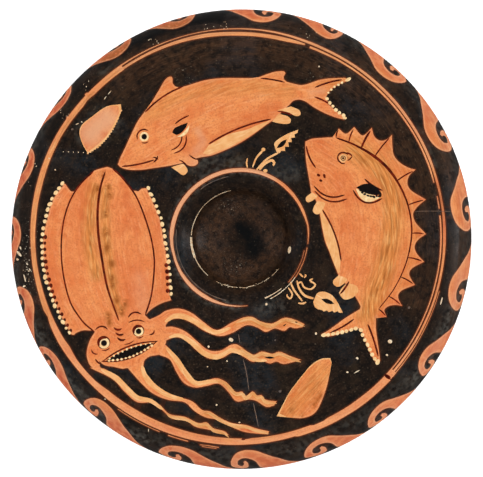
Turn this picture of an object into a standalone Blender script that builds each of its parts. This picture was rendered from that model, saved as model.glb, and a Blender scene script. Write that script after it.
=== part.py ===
"""Red-figure fish plate: one wheel-thrown vessel with a sloping floor, a sauce cup sunk in its middle,
an overhanging rim and a ring foot. Metres, +Z up, origin on the table under the middle of the foot."""

import math

import bmesh
import bpy

MM = 0.001

# The overhanging rim
PLATE_RADIUS = 116.5 * MM  # widest point, on the lip
PLATE_HEIGHT = 47.0 * MM  # crest of the rim above the table
RIM_START_SLOPE = math.radians(16.0)  # how steeply the rim leaves its crest
LIP_HEIGHT = 2.5 * MM  # upright part of the lip
LIP_THICKNESS = 5.5 * MM
HOLLOW_RADIUS = 98.0 * MM  # where the hollow under the rim is highest
RIM_WALL = 6.4 * MM  # upright thickness of the floor above that hollow

# The two rings scraped through the slip, at the rim's crest and round the cup
CREST_RING_RADIUS = 102.4 * MM
CREST_RING_WIDTH = 3.0 * MM
CUP_RING_RADIUS = 34.3 * MM
CUP_RING_WIDTH = 2.3 * MM
RING_DEPTH = 0.5 * MM

# The floor and the sauce cup
FLOOR_DROP = 9.5 * MM  # from the rim's crest down to the ring round the cup
FLOOR_BOW = 0.7 * MM  # how far the floor bellies above a straight slope
CUP_RADIUS = 25.0 * MM  # the worn edge of the cup
CUP_EDGE_DROP = 5.0 * MM  # from the ring round the cup down to that edge
CUP_DEPTH = 11.0 * MM  # below the edge
CUP_WALL = 7.0 * MM
CUP_EDGE_STEEPNESS = math.radians(72.0)  # how far up its round the bowl of the cup is cut off

# The ring foot
FOOT_RADIUS = 51.5 * MM
FOOT_RING_WIDTH = 7.0 * MM  # flat ring that stands on the table
FOOT_EDGE = 1.4 * MM  # rounding beside that ring
FOOT_FLARE_HEIGHT = 8.5 * MM
STEM_RADIUS = 45.5 * MM
STEM_HEIGHT = 18.0 * MM  # narrowest place of the foot above the table
STEM_WALL = 8.5 * MM
FOOT_JOINT = 6.5 * MM  # fillet where the foot is luted to the plate
JOINT_WALL = 9.0 * MM  # upright thickness of the floor at that joint
FOOT_SPREAD = 3.0 * MM  # how much wider the foot's hollow is at its mouth

SEGMENTS = 72  # facets round the wheel axis
FIRED_CLAY = (0.72, 0.31, 0.15, 1.0)

crest_inner = CREST_RING_RADIUS - CREST_RING_WIDTH / 2
crest_outer = CREST_RING_RADIUS + CREST_RING_WIDTH / 2
cup_ring_inner = CUP_RING_RADIUS - CUP_RING_WIDTH / 2
cup_ring_outer = CUP_RING_RADIUS + CUP_RING_WIDTH / 2
cup_ring_level = PLATE_HEIGHT - FLOOR_DROP
cup_edge_level = cup_ring_level - CUP_EDGE_DROP
cup_bottom_level = cup_edge_level - CUP_DEPTH
rim_round = (PLATE_RADIUS - crest_outer) / (1 - math.sin(RIM_START_SLOPE))
lip_top = PLATE_HEIGHT - rim_round * math.cos(RIM_START_SLOPE)
lip_bottom = lip_top - LIP_HEIGHT


def steps(count):
    """Shares from 0 to 1 in that many equal steps, both ends included."""
    return [k / count for k in range(count + 1)]


def floor_level(radius):
    """Height of the floor between the two scraped rings."""
    u = (radius - cup_ring_outer) / (crest_inner - cup_ring_outer)
    return cup_ring_level + FLOOR_DROP * u + 4 * FLOOR_BOW * u * (1 - u)


def curve_through(points, count):
    """A smooth curve through (radius, height) points, with count steps between each two."""
    padded = [points[0], *points, points[-1]]
    curve = [points[0]]
    for a, b, c, d in zip(padded, padded[1:], padded[2:], padded[3:]):
        for t in steps(count)[1:]:
            curve.append(
                tuple(
                    0.5 * (2 * q + (r - p) * t + (2 * p - 5 * q + 4 * r - s) * t**2
                           + (3 * q - p - 3 * r + s) * t**3)
                    for p, q, r, s in zip(a, b, c, d)
                )
            )
    return curve


def scraped_ring(inner, outer, level):
    """The shallow trough that the potter's tool left, without its two edges."""
    middle = (inner + outer) / 2
    quarter = (outer - inner) / 4
    return [
        (middle - quarter, level - 0.8 * RING_DEPTH),
        (middle, level - RING_DEPTH),
        (middle + quarter, level - 0.8 * RING_DEPTH),
    ]


def cup():
    """The round bowl, from the wheel axis out to its worn edge."""
    full = 1 - math.cos(CUP_EDGE_STEEPNESS)
    return [
        (
            CUP_RADIUS * math.sin(u * CUP_EDGE_STEEPNESS) / math.sin(CUP_EDGE_STEEPNESS),
            cup_bottom_level + CUP_DEPTH * (1 - math.cos(u * CUP_EDGE_STEEPNESS)) / full,
        )
        for u in steps(6)
    ]


def cup_shoulder():
    """The swelling between the cup's edge and the ring round it, without the edge."""
    return [
        (
            CUP_RADIUS + (cup_ring_inner - CUP_RADIUS) * u,
            cup_edge_level + CUP_EDGE_DROP * math.sin(u * math.pi / 2),
        )
        for u in steps(4)[1:]
    ]


def dish_floor():
    return [
        (radius, floor_level(radius))
        for radius in (cup_ring_outer + (crest_inner - cup_ring_outer) * u for u in steps(6))
    ]


def rim_face():
    """The outer face of the rim: a round from the crest down to the upright lip."""
    middle = PLATE_RADIUS - rim_round
    angles = [RIM_START_SLOPE + (math.pi / 2 - RIM_START_SLOPE) * u for u in steps(7)]
    return [
        (middle + rim_round * math.sin(a), lip_top + rim_round * math.cos(a)) for a in angles
    ]


def lip_edge():
    """The half-round lower edge of the lip, from its outer face to its inner face."""
    half = LIP_THICKNESS / 2
    return [
        (PLATE_RADIUS - half + half * math.cos(a), lip_bottom - half * math.sin(a))
        for a in (math.pi * u for u in steps(4))
    ]


def hollow_under_rim():
    """The inner face of the rim, rising from the lip to the top of the hollow."""
    top = floor_level(HOLLOW_RADIUS) - RIM_WALL
    wide = PLATE_RADIUS - LIP_THICKNESS - HOLLOW_RADIUS
    return [
        (HOLLOW_RADIUS + wide * math.cos(a), lip_top + (top - lip_top) * math.sin(a))
        for a in (math.pi / 2 * u for u in steps(4))
    ]


def under_floor_and_foot():
    """From the hollow's top along the underside, down the foot's outside to its lower edge."""
    joint_radius = STEM_RADIUS + FOOT_JOINT
    joint_level = floor_level(joint_radius) - JOINT_WALL
    hollow_top = floor_level(HOLLOW_RADIUS) - RIM_WALL
    halfway = (HOLLOW_RADIUS + joint_radius) / 2
    return curve_through(
        [
            (HOLLOW_RADIUS, hollow_top),
            (halfway, (hollow_top + joint_level) / 2 + FLOOR_BOW),
            (joint_radius, joint_level),
            (STEM_RADIUS + 0.15 * FOOT_JOINT, joint_level - 0.7 * FOOT_JOINT),
            (STEM_RADIUS, STEM_HEIGHT),
            ((STEM_RADIUS + FOOT_RADIUS) / 2, FOOT_FLARE_HEIGHT),
            (FOOT_RADIUS, FOOT_EDGE * 2),
            (FOOT_RADIUS - 0.3 * FOOT_EDGE, 0.5 * FOOT_EDGE),
        ],
        2,
    )[1:]


def foot_hollow():
    """From the flat standing ring up the foot's inside and under the cup to the wheel axis."""
    ring_outer = FOOT_RADIUS - FOOT_EDGE
    ring_inner = ring_outer - FOOT_RING_WIDTH
    wall = STEM_RADIUS - STEM_WALL
    mouth = wall + FOOT_SPREAD
    vault = cup_edge_level - CUP_WALL
    under_cup = cup_bottom_level - CUP_WALL
    inside = curve_through(
        [
            (ring_inner - 0.5 * FOOT_EDGE, 0.6 * FOOT_EDGE),
            (mouth, FOOT_FLARE_HEIGHT / 2),
            (wall, STEM_HEIGHT),
            (wall - 0.5 * CUP_WALL, vault),
            (CUP_RADIUS, vault - 0.35 * CUP_DEPTH),
            (0.55 * CUP_RADIUS, under_cup + 0.1 * CUP_DEPTH),
            (0.0, under_cup),
        ],
        2,
    )
    return [(ring_outer, 0.0), (ring_inner, 0.0), *inside]


def section():
    """Half the plate's section as (radius, height), from the cup's middle round to the axis below it."""
    return (
        cup()
        + cup_shoulder()
        + scraped_ring(cup_ring_inner, cup_ring_outer, cup_ring_level)
        + dish_floor()
        + scraped_ring(crest_inner, crest_outer, PLATE_HEIGHT)
        + rim_face()
        + lip_edge()
        + hollow_under_rim()
        + under_floor_and_foot()
        + foot_hollow()
    )


def fired_clay():
    material = bpy.data.materials.new("fired_clay")
    material.use_nodes = True
    shader = material.node_tree.nodes["Principled BSDF"]
    shader.inputs["Base Color"].default_value = FIRED_CLAY
    shader.inputs["Roughness"].default_value = 0.55
    shader.inputs["Metallic"].default_value = 0.0
    return material


def turned(name, profile, segments):
    """A closed solid turned from a profile that starts and ends on the Z axis."""
    shape = bmesh.new()
    rings = []
    for radius, height in profile:
        if radius < 1e-9:
            rings.append([shape.verts.new((0.0, 0.0, height))])
            continue
        turns = [2 * math.pi * k / segments for k in range(segments)]
        rings.append(
            [shape.verts.new((radius * math.cos(a), radius * math.sin(a), height)) for a in turns]
        )
    for ring, following in zip(rings, rings[1:]):
        for k in range(segments):
            after = (k + 1) % segments
            if len(ring) == 1:
                corners = [ring[0], following[k], following[after]]
            elif len(following) == 1:
                corners = [ring[k], following[0], ring[after]]
            else:
                corners = [ring[k], following[k], following[after], ring[after]]
            shape.faces.new(corners)
    bmesh.ops.recalc_face_normals(shape, faces=shape.faces)
    mesh = bpy.data.meshes.new(name)
    shape.to_mesh(mesh)
    shape.free()
    return mesh


def main():
    for old in list(bpy.data.objects):
        bpy.data.objects.remove(old, do_unlink=True)
    mesh = turned("fish_plate", section(), SEGMENTS)
    mesh.materials.append(fired_clay())
    mesh.shade_smooth()
    mesh.set_sharp_from_angle(angle=math.radians(40))
    plate = bpy.data.objects.new("fish_plate", mesh)
    bpy.context.scene.collection.objects.link(plate)


main()
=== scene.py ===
"""The looks of the red-figure fish plate, a wheel-thrown pot whose upper face carries a painted picture.

The picture is drawn on a flat disc, the sheet, in millimetres: a point of the sheet lies as far from the
disc's middle as the point of the plate lies from the middle of the cup, measured along the clay.
Geometry Nodes then turn the sheet round the wheel axis along the plate's own half section.
The picture keeps the outlines, areas and colours of the real one: a tunny, a bream, a cuttlefish, two
shells, two small shellfish and a band of running waves. The outlines' points were read off enlarged
views of the photograph. The marks within them stand about where the real ones do, but are plain rings,
arcs and dabs at even steps.
"""

import math
import random

import bpy
import numpy as np
from mathutils import Matrix, Vector
from mathutils.geometry import delaunay_2d_cdt
from mathutils.kdtree import KDTree

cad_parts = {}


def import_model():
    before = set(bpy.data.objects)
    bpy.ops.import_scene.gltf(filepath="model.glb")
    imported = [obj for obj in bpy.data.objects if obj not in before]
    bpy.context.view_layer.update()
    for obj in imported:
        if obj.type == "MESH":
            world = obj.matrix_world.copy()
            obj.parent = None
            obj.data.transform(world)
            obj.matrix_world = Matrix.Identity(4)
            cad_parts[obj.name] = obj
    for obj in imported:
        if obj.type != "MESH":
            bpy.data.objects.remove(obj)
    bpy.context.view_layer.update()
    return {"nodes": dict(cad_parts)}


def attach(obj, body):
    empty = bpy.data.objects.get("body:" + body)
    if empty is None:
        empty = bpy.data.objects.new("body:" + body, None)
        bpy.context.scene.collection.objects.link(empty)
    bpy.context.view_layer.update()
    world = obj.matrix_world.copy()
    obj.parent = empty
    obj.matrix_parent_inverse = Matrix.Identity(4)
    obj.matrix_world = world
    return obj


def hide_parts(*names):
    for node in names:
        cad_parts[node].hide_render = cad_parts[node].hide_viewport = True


MM = 0.001
WELD = 1e-6  # metres: places closer together than this are one

# The finishes, in the order of the piece's material slots
SLIP, CLAY, CREAM, DAB, LINE, BARE, SCUFF, INK = range(8)

# The soft-edged tints that a zone can give to the finishes
TINTS = ("golden", "dusky", "ruddy", "pale", "worn")

# The view in which the figures' points are given: millimetres in the plane through the rim's crest,
# square to the line of sight, from a corner that puts (0, 0) near the wheel axis
IMAGE_WIDTH = 483  # pixels
MM_PER_PIXEL = 0.5005
SENSOR_WIDTH = 36.0  # mm
VIEW_DISTANCE = 1800.0
VIEW_TILT_RIGHT = math.radians(4.6)
VIEW_TILT_FRONT = math.radians(2.2)
VIEW_TARGET = (1.9, -0.55)  # the point of the crest's plane in the middle of the image
SEEN_MIDDLE = (1.25, -0.25)  # the figures' coordinates of that point
SEEN_SCALE = MM_PER_PIXEL / 0.5  # the figures count half a millimetre to a pixel
RAY_ROUNDS = 8  # how often the place where a ray meets the clay is made more exact

# Spacing of points in mm
SECTION_STEP = 0.3
UNDERSIDE_STEP = 2.7
UNDERSIDE_ROOM = 1.4  # from the edge of a band below to the next ring of points
GRID_STEP = 1.75
OUTLINE_STEP = 0.85
STROKE_STEP = 0.7
SMALL_STEP = 0.6  # along the outline of a fin or a shellfish
DAB_STEP = 0.5
PATH_STEP = 4.0  # along the middle of a zone or a brushed path
ARC_STEP = 6.0  # along the middle of a zone round the axis
EDGE_OFFSET = 0.7  # from an outline to the extra points beside it, for the fringe of the slip
SHAPE_MARGIN = 0.6  # from the shapes to the lip's lowest line
POINT_MARGIN = 0.8  # from the extra points to it
SMALL_ZONE = 3.0  # a zone that reaches less far gets points of its own

# How many points go round a whole turn
RIM_SEGMENTS = 180
RING_POINTS = 900
CUP_EDGE_POINTS = 1200
DAB_CORNERS = 8  # of the small flakes, which get no extra points beside them

# Brush strokes: how much slower their pattern runs along a figure than across it, the mm that it runs
# through on its way round the wheel, and how far inside the crest ring it begins to follow the wheel
BRUSH_PULL = 0.12
WHEEL_TURN = 12.0
WHEEL_STROKES = 4.0
STROKES_APART = 40.0  # in the pattern, from one brushed path to the next

# What is drawn with the brush
LINE_SPREAD = 1.15  # how much a relief line spreads as it is fired
THINNED_END = 1.6  # of a line
WAVE_EDGE = 1.3  # the waves' paler edge
REDDER_FROM = 2.0  # below the crest ring the clay begins to turn redder,
REDDER_OVER = 9.0  # and this much further down it is reddest
FURTHEST = 9.0  # distances to the slip's edge are measured up to here
BUMP_DEPTH = 0.1  # of the finest unevenness in the finishes

# The scraped rings of the solid and the cup's worn edge, from the wheel axis
CREST_RING = (100.9, 103.9)
CUP_RING = (33.15, 35.45)
CUP_EDGE = 24.8

# The rim, the foot and what the potter's hand and the firing did to them
LIP_FOOT = 24.3  # from the crest ring along the clay down to the foot of the waves
RIM_SHARE = 0.9  # the rim is all that lies past this share of the plate's radius
FOOT_JOINT_RADIUS = 55  # the foot ring meets the bowl about here
FOOT_JOINT_HEIGHT = 20  # and above this height
RIDGE_HEIGHT = 0.05  # of the low ridges that fingers left
RIDGE_SPACING = 6.5
OUT_OF_ROUND = 0.003  # the share by which the fired pot is narrower from front to back


def linear(hex_colour):
    """An sRGB hex colour as Blender's linear RGBA."""
    parts = [int(hex_colour[k : k + 2], 16) / 255 for k in (1, 3, 5)]
    return (*[c / 12.92 if c <= 0.04045 else ((c + 0.055) / 1.055) ** 2.4 for c in parts], 1.0)


def put(tree, kind, links=None, **settings):
    """Outputs of a new node with its settings; links gives an input a value or another node's output."""
    node = tree.nodes.new(kind)
    for name, value in settings.items():
        setattr(node, name, value)
    for socket, value in (links or {}).items():
        if isinstance(value, bpy.types.NodeSocket):
            tree.links.new(value, node.inputs[socket])
        else:
            node.inputs[socket].default_value = value
    return node.outputs


# The section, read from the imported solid


def smooth(points, step):
    """A smooth curve through points, as rows of coordinates about a step apart."""
    p = np.array(points, float)
    p = np.vstack([2 * p[0] - p[1], p, 2 * p[-1] - p[-2]])
    rows = []
    for a, b, c, d in zip(p, p[1:], p[2:], p[3:]):
        before, span, after = (max(1e-6, np.linalg.norm(v)) ** 0.5 for v in (b - a, c - b, d - c))
        leave = span * ((b - a) / before - (c - a) / (before + span) + (c - b) / span)
        arrive = span * ((c - b) / span - (d - b) / (span + after) + (d - c) / after)
        count = max(1, round(np.linalg.norm(c - b) / step))
        for u in np.arange(count) / count:
            rows.append((2 * u**3 - 3 * u**2 + 1) * b + (u**3 - 2 * u**2 + u) * leave
                        + (3 * u**2 - 2 * u**3) * c + (u**3 - u**2) * arrive)
    rows.append(p[-2])
    return np.array(rows)


def half_section(node):
    """The solid's half section, (radius, height) rows in mm from the cup's middle to the axis below it."""
    places = np.array([v.co for v in node.data.vertices])
    keys = [(round(x / WELD), round(z / WELD)) for x, _, z in places]
    in_plane = (np.abs(places[:, 1]) < 2 * WELD) & (places[:, 0] > -WELD)
    beside = {}
    for face in node.data.polygons:
        corners = [keys[v] for v in face.vertices if in_plane[v]]
        for a in corners:
            beside.setdefault(a, set()).update(b for b in corners if b != a)
    here = max((k for k in beside if abs(k[0]) < 2), key=lambda k: k[1])
    walk = [here]
    while True:
        onward = [k for k in beside[walk[-1]] if k not in walk]
        if not onward:
            break
        walk.append(onward[0])
    return np.array(walk) * WELD / MM


class Section:
    """The plate's half section as a smooth curve, with the length along it from the cup's middle."""

    def __init__(self, corners):
        rows = np.maximum(smooth(corners, SECTION_STEP), 0.0)
        rows[0, 0] = rows[-1, 0] = 0.0
        self.radius, self.height = rows.T
        steps = np.hypot(np.diff(self.radius), np.diff(self.height))
        self.length = np.concatenate([[0.0], np.cumsum(steps)])
        self.widest = int(np.argmax(self.radius))
        rim = np.where(self.radius > RIM_SHARE * self.radius.max())[0]
        self.lip = int(rim[np.argmin(self.height[rim])])
        self.crest_height = float(self.height.max())

    def along(self, radius):
        """Length from the cup's middle to the upper face at that radius."""
        upper = slice(0, self.widest + 1)
        return np.interp(radius, self.radius[upper], self.length[upper])

    def level(self, radius):
        """Height of the upper face at that radius."""
        upper = slice(0, self.widest + 1)
        return np.interp(radius, self.radius[upper], self.height[upper])


class Camera:
    """The place and directions of the photograph's view, in mm."""

    def __init__(self, crest_height):
        self.towards = Vector((math.tan(VIEW_TILT_RIGHT), -math.tan(VIEW_TILT_FRONT), 1.0)).normalized()
        self.target = Vector((*VIEW_TARGET, crest_height))
        self.place = self.target + self.towards * VIEW_DISTANCE
        self.right = Vector((0, 1, 0)).cross(self.towards).normalized()
        self.up = self.towards.cross(self.right)


def polar(length, turn):
    """Sheet coordinates of points given by their length along the clay and their angle in radians."""
    return np.column_stack([length * np.cos(turn), length * np.sin(turn)])


class Drawing:
    """Turns what is drawn into shapes on the sheet, each a finish and a closed outline in mm."""

    def __init__(self, section, camera):
        self.section = section
        self.camera = camera
        self.crest = float(section.along(CREST_RING[1]))
        self.shapes = []
        self.zones = []
        self.strokes = []

    def on_sheet(self, seen):
        """Sheet coordinates of points that are given as the camera sees them."""
        seen = (np.atleast_2d(seen) - SEEN_MIDDLE) * SEEN_SCALE
        view = self.camera
        eye = np.array(view.place)
        ray = np.array(view.target) + np.outer(seen[:, 0], view.right) + np.outer(seen[:, 1], view.up) - eye
        level = np.full(len(seen), self.section.crest_height)
        for _ in range(RAY_ROUNDS):
            hit = eye + ray * ((level - eye[2]) / ray[:, 2])[:, None]
            radius = np.hypot(hit[:, 0], hit[:, 1])
            level = self.section.level(radius)
        length = self.section.along(radius)
        return hit[:, :2] * (length / np.maximum(radius, 1e-9))[:, None]

    def round_the_axis(self, radius, degrees):
        """Sheet coordinates of points of the upper face given by radius and angle."""
        return polar(self.section.along(np.asarray(radius, float)), np.radians(degrees))

    def on_rim(self, depth, degrees):
        """Sheet coordinates of points of the rim, given by how deep below the crest ring they lie."""
        return polar(self.crest + np.asarray(depth, float), np.radians(degrees))

    def seen(self, finish, outline):
        """A shape whose outline is given as the camera sees it."""
        self.shapes.append((finish, self.on_sheet(outline)))

    def band(self, finish, inner, outer, start, end, points=RING_POINTS):
        """A band round the axis between two radii that follow the angle, with that many points a turn."""
        turns = np.linspace(start, end, max(4, round(points * (end - start) / 360)) + 1)
        there = self.round_the_axis([outer(t) for t in turns], turns)
        back = self.round_the_axis([inner(t) for t in turns], turns)[::-1]
        self.shapes.append((finish, np.vstack([there, back])))

    def zone(self, tint, points, reach, strength=1.0):
        """A soft-edged zone along a path, for washes, stains and wear."""
        rows = smooth(points, PATH_STEP) if len(points) > 1 else np.array(points)
        self.zones.append((tint, self.on_sheet(rows), reach, strength))

    def arc_zone(self, tint, radius, start, end, reach, strength=1.0):
        """A soft-edged zone along an arc round the axis."""
        turns = np.linspace(start, end, 2 + round(radius * math.radians(end - start) / ARC_STEP))
        self.zones.append((tint, self.round_the_axis([radius] * len(turns), turns), reach, strength))

    def brushed(self, points):
        """A path that the brush strokes of the figure round it follow."""
        self.strokes.append(self.on_sheet(smooth(points, PATH_STEP)))


def walked_along(path):
    """How far along a path each of its points lies."""
    return np.concatenate([[0.0], np.cumsum(np.linalg.norm(np.diff(path, axis=0), axis=1))])


def outline(*runs, step=OUTLINE_STEP):
    """A closed outline of smooth runs that meet in corners, each corner once."""
    rows = np.vstack([smooth(run, step) if len(run) > 2 else np.array(run, float) for run in runs])
    gap = np.linalg.norm(rows - np.roll(rows, 1, axis=0), axis=1)
    return rows[gap > 0.05]


def stroke(points, width, step=STROKE_STEP, tip=0.35, tail=0.35):
    """A brush line; width is one number or several at even steps, of which the two ends keep a share."""
    knots = points if len(points) > 2 else [points[0], np.mean(points, 0), points[1]]
    centre = smooth(knots, step)
    walked = walked_along(centre)
    share = walked / walked[-1]
    half = np.interp(share, np.linspace(0, 1, np.size(width)), np.atleast_1d(width)) / 2
    thin = min(0.3, THINNED_END / walked[-1])
    half = half * np.interp(share, [0, thin, 1 - thin, 1], [tip, 1, 1, tail])
    ahead = np.gradient(centre, axis=0)
    side = np.column_stack([-ahead[:, 1], ahead[:, 0]]) / np.linalg.norm(ahead, axis=1)[:, None]
    return np.vstack([centre + side * half[:, None], (centre - side * half[:, None])[::-1]])


def oval(middle, radius, stretch=1.0, turn=0.0, points=0):
    """A round or oval dab; stretch lengthens it along the direction turn, in degrees."""
    points = points or max(7, min(28, round(2 * math.pi * radius / DAB_STEP)))
    angle = np.arange(points) / points * 2 * math.pi
    x, y = radius * stretch * np.cos(angle), radius * np.sin(angle)
    c, s = math.cos(math.radians(turn)), math.sin(math.radians(turn))
    return np.column_stack([middle[0] + x * c - y * s, middle[1] + x * s + y * c])


def spaced(points, count):
    """Places at equal steps along a path, each with the direction of the path there in degrees."""
    path = smooth(points, 0.4)
    walked = walked_along(path)
    at = np.linspace(0, walked[-1], count)
    x, y = (np.interp(at, walked, path[:, k]) for k in (0, 1))
    heading = np.degrees(np.arctan2(np.gradient(y), np.gradient(x)))
    return list(zip(x, y, heading))


def wobble(seed, size, waves=9):
    """An unsteady hand: a smooth function of the angle in degrees that seldom strays beyond the size."""
    rng = random.Random(seed)
    terms = [(k, rng.uniform(0, 2 * math.pi), rng.uniform(0.4, 1.0) / k**0.5) for k in range(2, 2 + waves)]
    whole = sum(t[2] for t in terms) * 0.55

    def stray(degrees):
        turn = math.radians(degrees)
        return size * sum(a * math.sin(k * turn + p) for k, p, a in terms) / whole

    return stray


def through(knots):
    """A radius as a function of the angle in degrees, from a number or a list of (angle, radius) pairs."""
    angles, radii = zip(*(knots if isinstance(knots, list) else [(0, knots)]))
    return lambda degrees: float(np.interp(degrees, angles, radii))


def bowed(a, b, bulge, count=5):
    """Points of an arc from a to b that stands out to its left by the bulge."""
    a, b = np.array(a, float), np.array(b, float)
    across = np.array([a[1] - b[1], b[0] - a[0]]) / np.linalg.norm(b - a)
    u = np.linspace(0, 1, count)[:, None]
    return a + (b - a) * u + across * 4 * u * (1 - u) * bulge


def lens(a, b, left, right, step=DAB_STEP):
    """A pointed outline between two arcs."""
    return outline(bowed(a, b, left), bowed(b, a, right), step=step)


# The picture


def paint_rings(draw):
    """The two rings scraped through the slip: uneven bands, here and there split by a line left standing."""
    shaky = wobble(3, 0.15, 40)

    def ring(start, end, inner, outer, finish=CLAY):
        """A band from one angle to another, its radii in the form that through takes."""
        within, without = through(inner), through(outer)
        draw.band(finish, lambda t: within(t) + shaky(t), lambda t: without(t) - shaky(t + 40), start, end)

    # the crest ring: two bands on the right and above, one on the left and below, three at the lower right
    ring(0, 124, [(0, 102.7), (8, 102.9), (16, 102.8), (28, 103.1), (66, 103.4), (72, 103.7), (80, 104.5),
                  (90, 104.9), (105, 105.0), (124, 104.7)],
         [(0, 104.0), (10, 103.9), (24, 104.25), (40, 104.5), (66, 104.6), (80, 105.3), (124, 105.4)])
    ring(15.5, 69.3, [(15, 101.5), (28, 101.8), (70, 101.7)], [(15, 102.1), (20, 102.5), (70, 102.7)])
    ring(0, 6, 101.3, [(0, 102.0), (6, 101.9)])
    ring(8, 11.5, 101.5, 102.0)
    ring(70.8, 124, [(70, 102.5), (73, 101.8), (76, 101.4), (90, 101.7), (100, 102.2), (110, 102.6),
                     (124, 102.7)],
         [(70, 102.9), (73, 103.2), (90, 103.5), (100, 104.0), (124, 103.8)])
    ring(124, 316.8, [(124, 102.5), (135, 102.4), (137.5, 103.0), (139.5, 102.5), (150, 102.8), (165, 102.3),
                      (185, 102.2), (202, 101.5), (210, 101.2), (213, 100.8), (217, 101.6), (225, 101.5),
                      (230, 100.6), (240, 100.4), (260, 100.6), (271, 100.9), (272.5, 101.3), (274, 100.9),
                      (291, 100.9), (292, 101.5), (295, 101.5), (296.5, 101.0), (316, 101.0)],
         [(124, 105.4), (135, 105.2), (150, 105.4), (160, 105.3), (175, 104.8), (185, 104.5), (195, 104.3),
          (200.5, 104.4), (202.5, 103.7), (205, 104.3), (210, 104.6), (225, 104.3), (240, 104.2),
          (271, 104.0), (286, 103.7), (287, 104.3), (305, 104.7), (316, 104.7)])
    ring(317.1, 319.4, 101.0, 104.4)
    ring(319.2, 360, [(318, 101.0), (340, 101.1), (360, 101.3)], [(318, 101.6), (340, 101.75), (360, 102.0)])
    ring(319.2, 360, [(318, 102.3), (340, 102.6), (360, 102.7)], [(318, 103.3), (340, 103.6), (360, 104.0)])
    ring(319.2, 345, [(318, 103.8), (345, 104.1)], [(318, 104.2), (345, 104.4)])
    # two blots of slip on the ring and two nicks beside it
    for finish, radius, turn, wide, stretch, lean in (
            (LINE, 102.4, 317, 1.0, 1.9, -35), (LINE, 101.3, 271.6, 0.5, 2.4, 3),
            (CLAY, 105.3, 136.4, 0.7, 1.7, 25), (CLAY, 105.2, 144.9, 0.6, 1.5, 80)):
        draw.shapes.append((finish, oval(draw.round_the_axis([radius], [turn])[0], wide, stretch, lean)))
    # thin lines that the scraper left outside the crest ring, below
    ring(235, 248, 104.9, 105.2)
    ring(250.6, 256.3, 105.0, 105.4)
    ring(259.6, 264.8, [(259, 105.6), (262, 105.2), (265, 105.6)],
         [(259, 105.9), (262, 105.6), (265, 105.9)])
    ring(260.2, 264.2, 106.2, 106.5)

    # the ring round the cup, and the thin lines on both sides of it
    ring(-5, 277, [(-5, 34.5), (10, 34.7), (20, 34.2), (70, 33.8), (105, 33.4), (120, 33.2), (175, 33.2),
                   (180, 33.5), (210, 33.5), (220, 33.2), (240, 33.2), (258, 33.9), (277, 34.3)],
         [(-5, 34.8), (0, 35.0), (10, 35.5), (60, 35.6), (85, 35.5), (120, 35.2), (175, 35.3), (195, 34.7),
          (220, 35.1), (240, 35.1), (258, 34.7), (277, 34.5)])
    ring(293, 310, [(293, 32.6), (310, 33.0)], [(293, 33.2), (310, 33.3)], BARE)
    ring(297, 325, 34.2, 34.6, BARE)
    ring(325, 352, 34.3, 34.65)
    ring(318, 349, 33.25, 33.45)
    ring(100, 128, 31.4, 31.8, SCUFF)
    ring(172, 258, 31.85, 32.15, SCUFF)


# The running waves on the rim, anticlockwise from the right: the angle of the left side, of the peak and
# of the back 8 mm lower, then the peak's depth below the crest ring and the thickness over the hollow
WAVES = (
    (1.6, 8.3, 15.0, 4.0, 7.3), (22.3, 28.2, 36.1, 4.0, 6.4), (43.2, 49.0, 56.2, 5.3, 5.6),
    (63.2, 66.6, 74.2, 6.4, 5.1), (79.5, 84.5, 91.5, 5.9, 4.3), (101.3, 106.2, 112.4, 7.4, 6.0),
    (118.5, 123.5, 130.3, 7.2, 7.0), (137.7, 142.5, 150.3, 8.5, 5.3), (156.5, 161.5, 169.0, 6.6, 6.0),
    (174.4, 179.3, 186.0, 6.8, 6.4), (192.3, 197.0, 204.5, 4.8, 6.9), (208.5, 214.0, 223.1, 6.1, 4.8),
    (226.6, 231.6, 240.7, 2.7, 4.9), (249.4, 255.6, 265.1, 5.5, 4.1), (268.0, 272.6, 280.6, 3.0, 4.9),
    (286.7, 292.8, 299.8, 5.4, 3.5), (304.4, 310.2, 316.8, 6.5, 4.2), (323.0, 328.0, 335.2, 5.7, 4.6),
    (341.4, 347.3, 354.9, 5.1, 5.6),
)


# How wide a wave's two sides usually are in mm, for rounding its outline before it is stretched to fit
WAVE_LEFT, WAVE_RIGHT = 10, 12


def paint_waves(draw):
    """The running wave: each has a long back on its right and curls over a hollow on its left."""
    for left, peak, right, top, arch in WAVES:
        # Each point has its place across and its mm below the peak. Across is -1 at the left side,
        # 0 at the peak and 1 where the back is 8 mm lower.
        back = [(1.9, LIP_FOOT - top), (1.5, 16), (1.25, 12), (1.0, 8), (0.78, 5.5), (0.52, 2.8),
                (0.28, 0.8), (0, 0), (-0.35, 0.4), (-0.66, 1.8), (-0.87, 4.2), (-1, 8), (-0.98, 11.5),
                (-0.8, arch + 9), (-0.4, arch + 11), (-0.12, arch + 9), (-0.05, arch + 6),
                (-0.08, arch + 3.4), (-0.19, arch + 2)]
        hollow = [(-0.19, arch + 2), (-0.29, arch + 2.8), (-0.28, arch + 5), (-0.42, arch + 6.8),
                  (-0.62, arch + 5.2), (-0.58, arch + 1.8), (-0.28, arch), (0.02, arch + 0.5),
                  (0.2, arch + 2.6), (0.28, arch + 6), (0.33, arch + 10), (0.6, LIP_FOOT - top)]
        flat = outline(*([(u * (WAVE_RIGHT if u > 0 else WAVE_LEFT), w) for u, w in run]
                         for run in (back, hollow)))
        across = flat[:, 0] / np.where(flat[:, 0] > 0, WAVE_RIGHT, WAVE_LEFT)
        turn = peak + across * np.where(across > 0, right - peak, peak - left)
        draw.shapes.append((CLAY, draw.on_rim(top + flat[:, 1], turn)))


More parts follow.
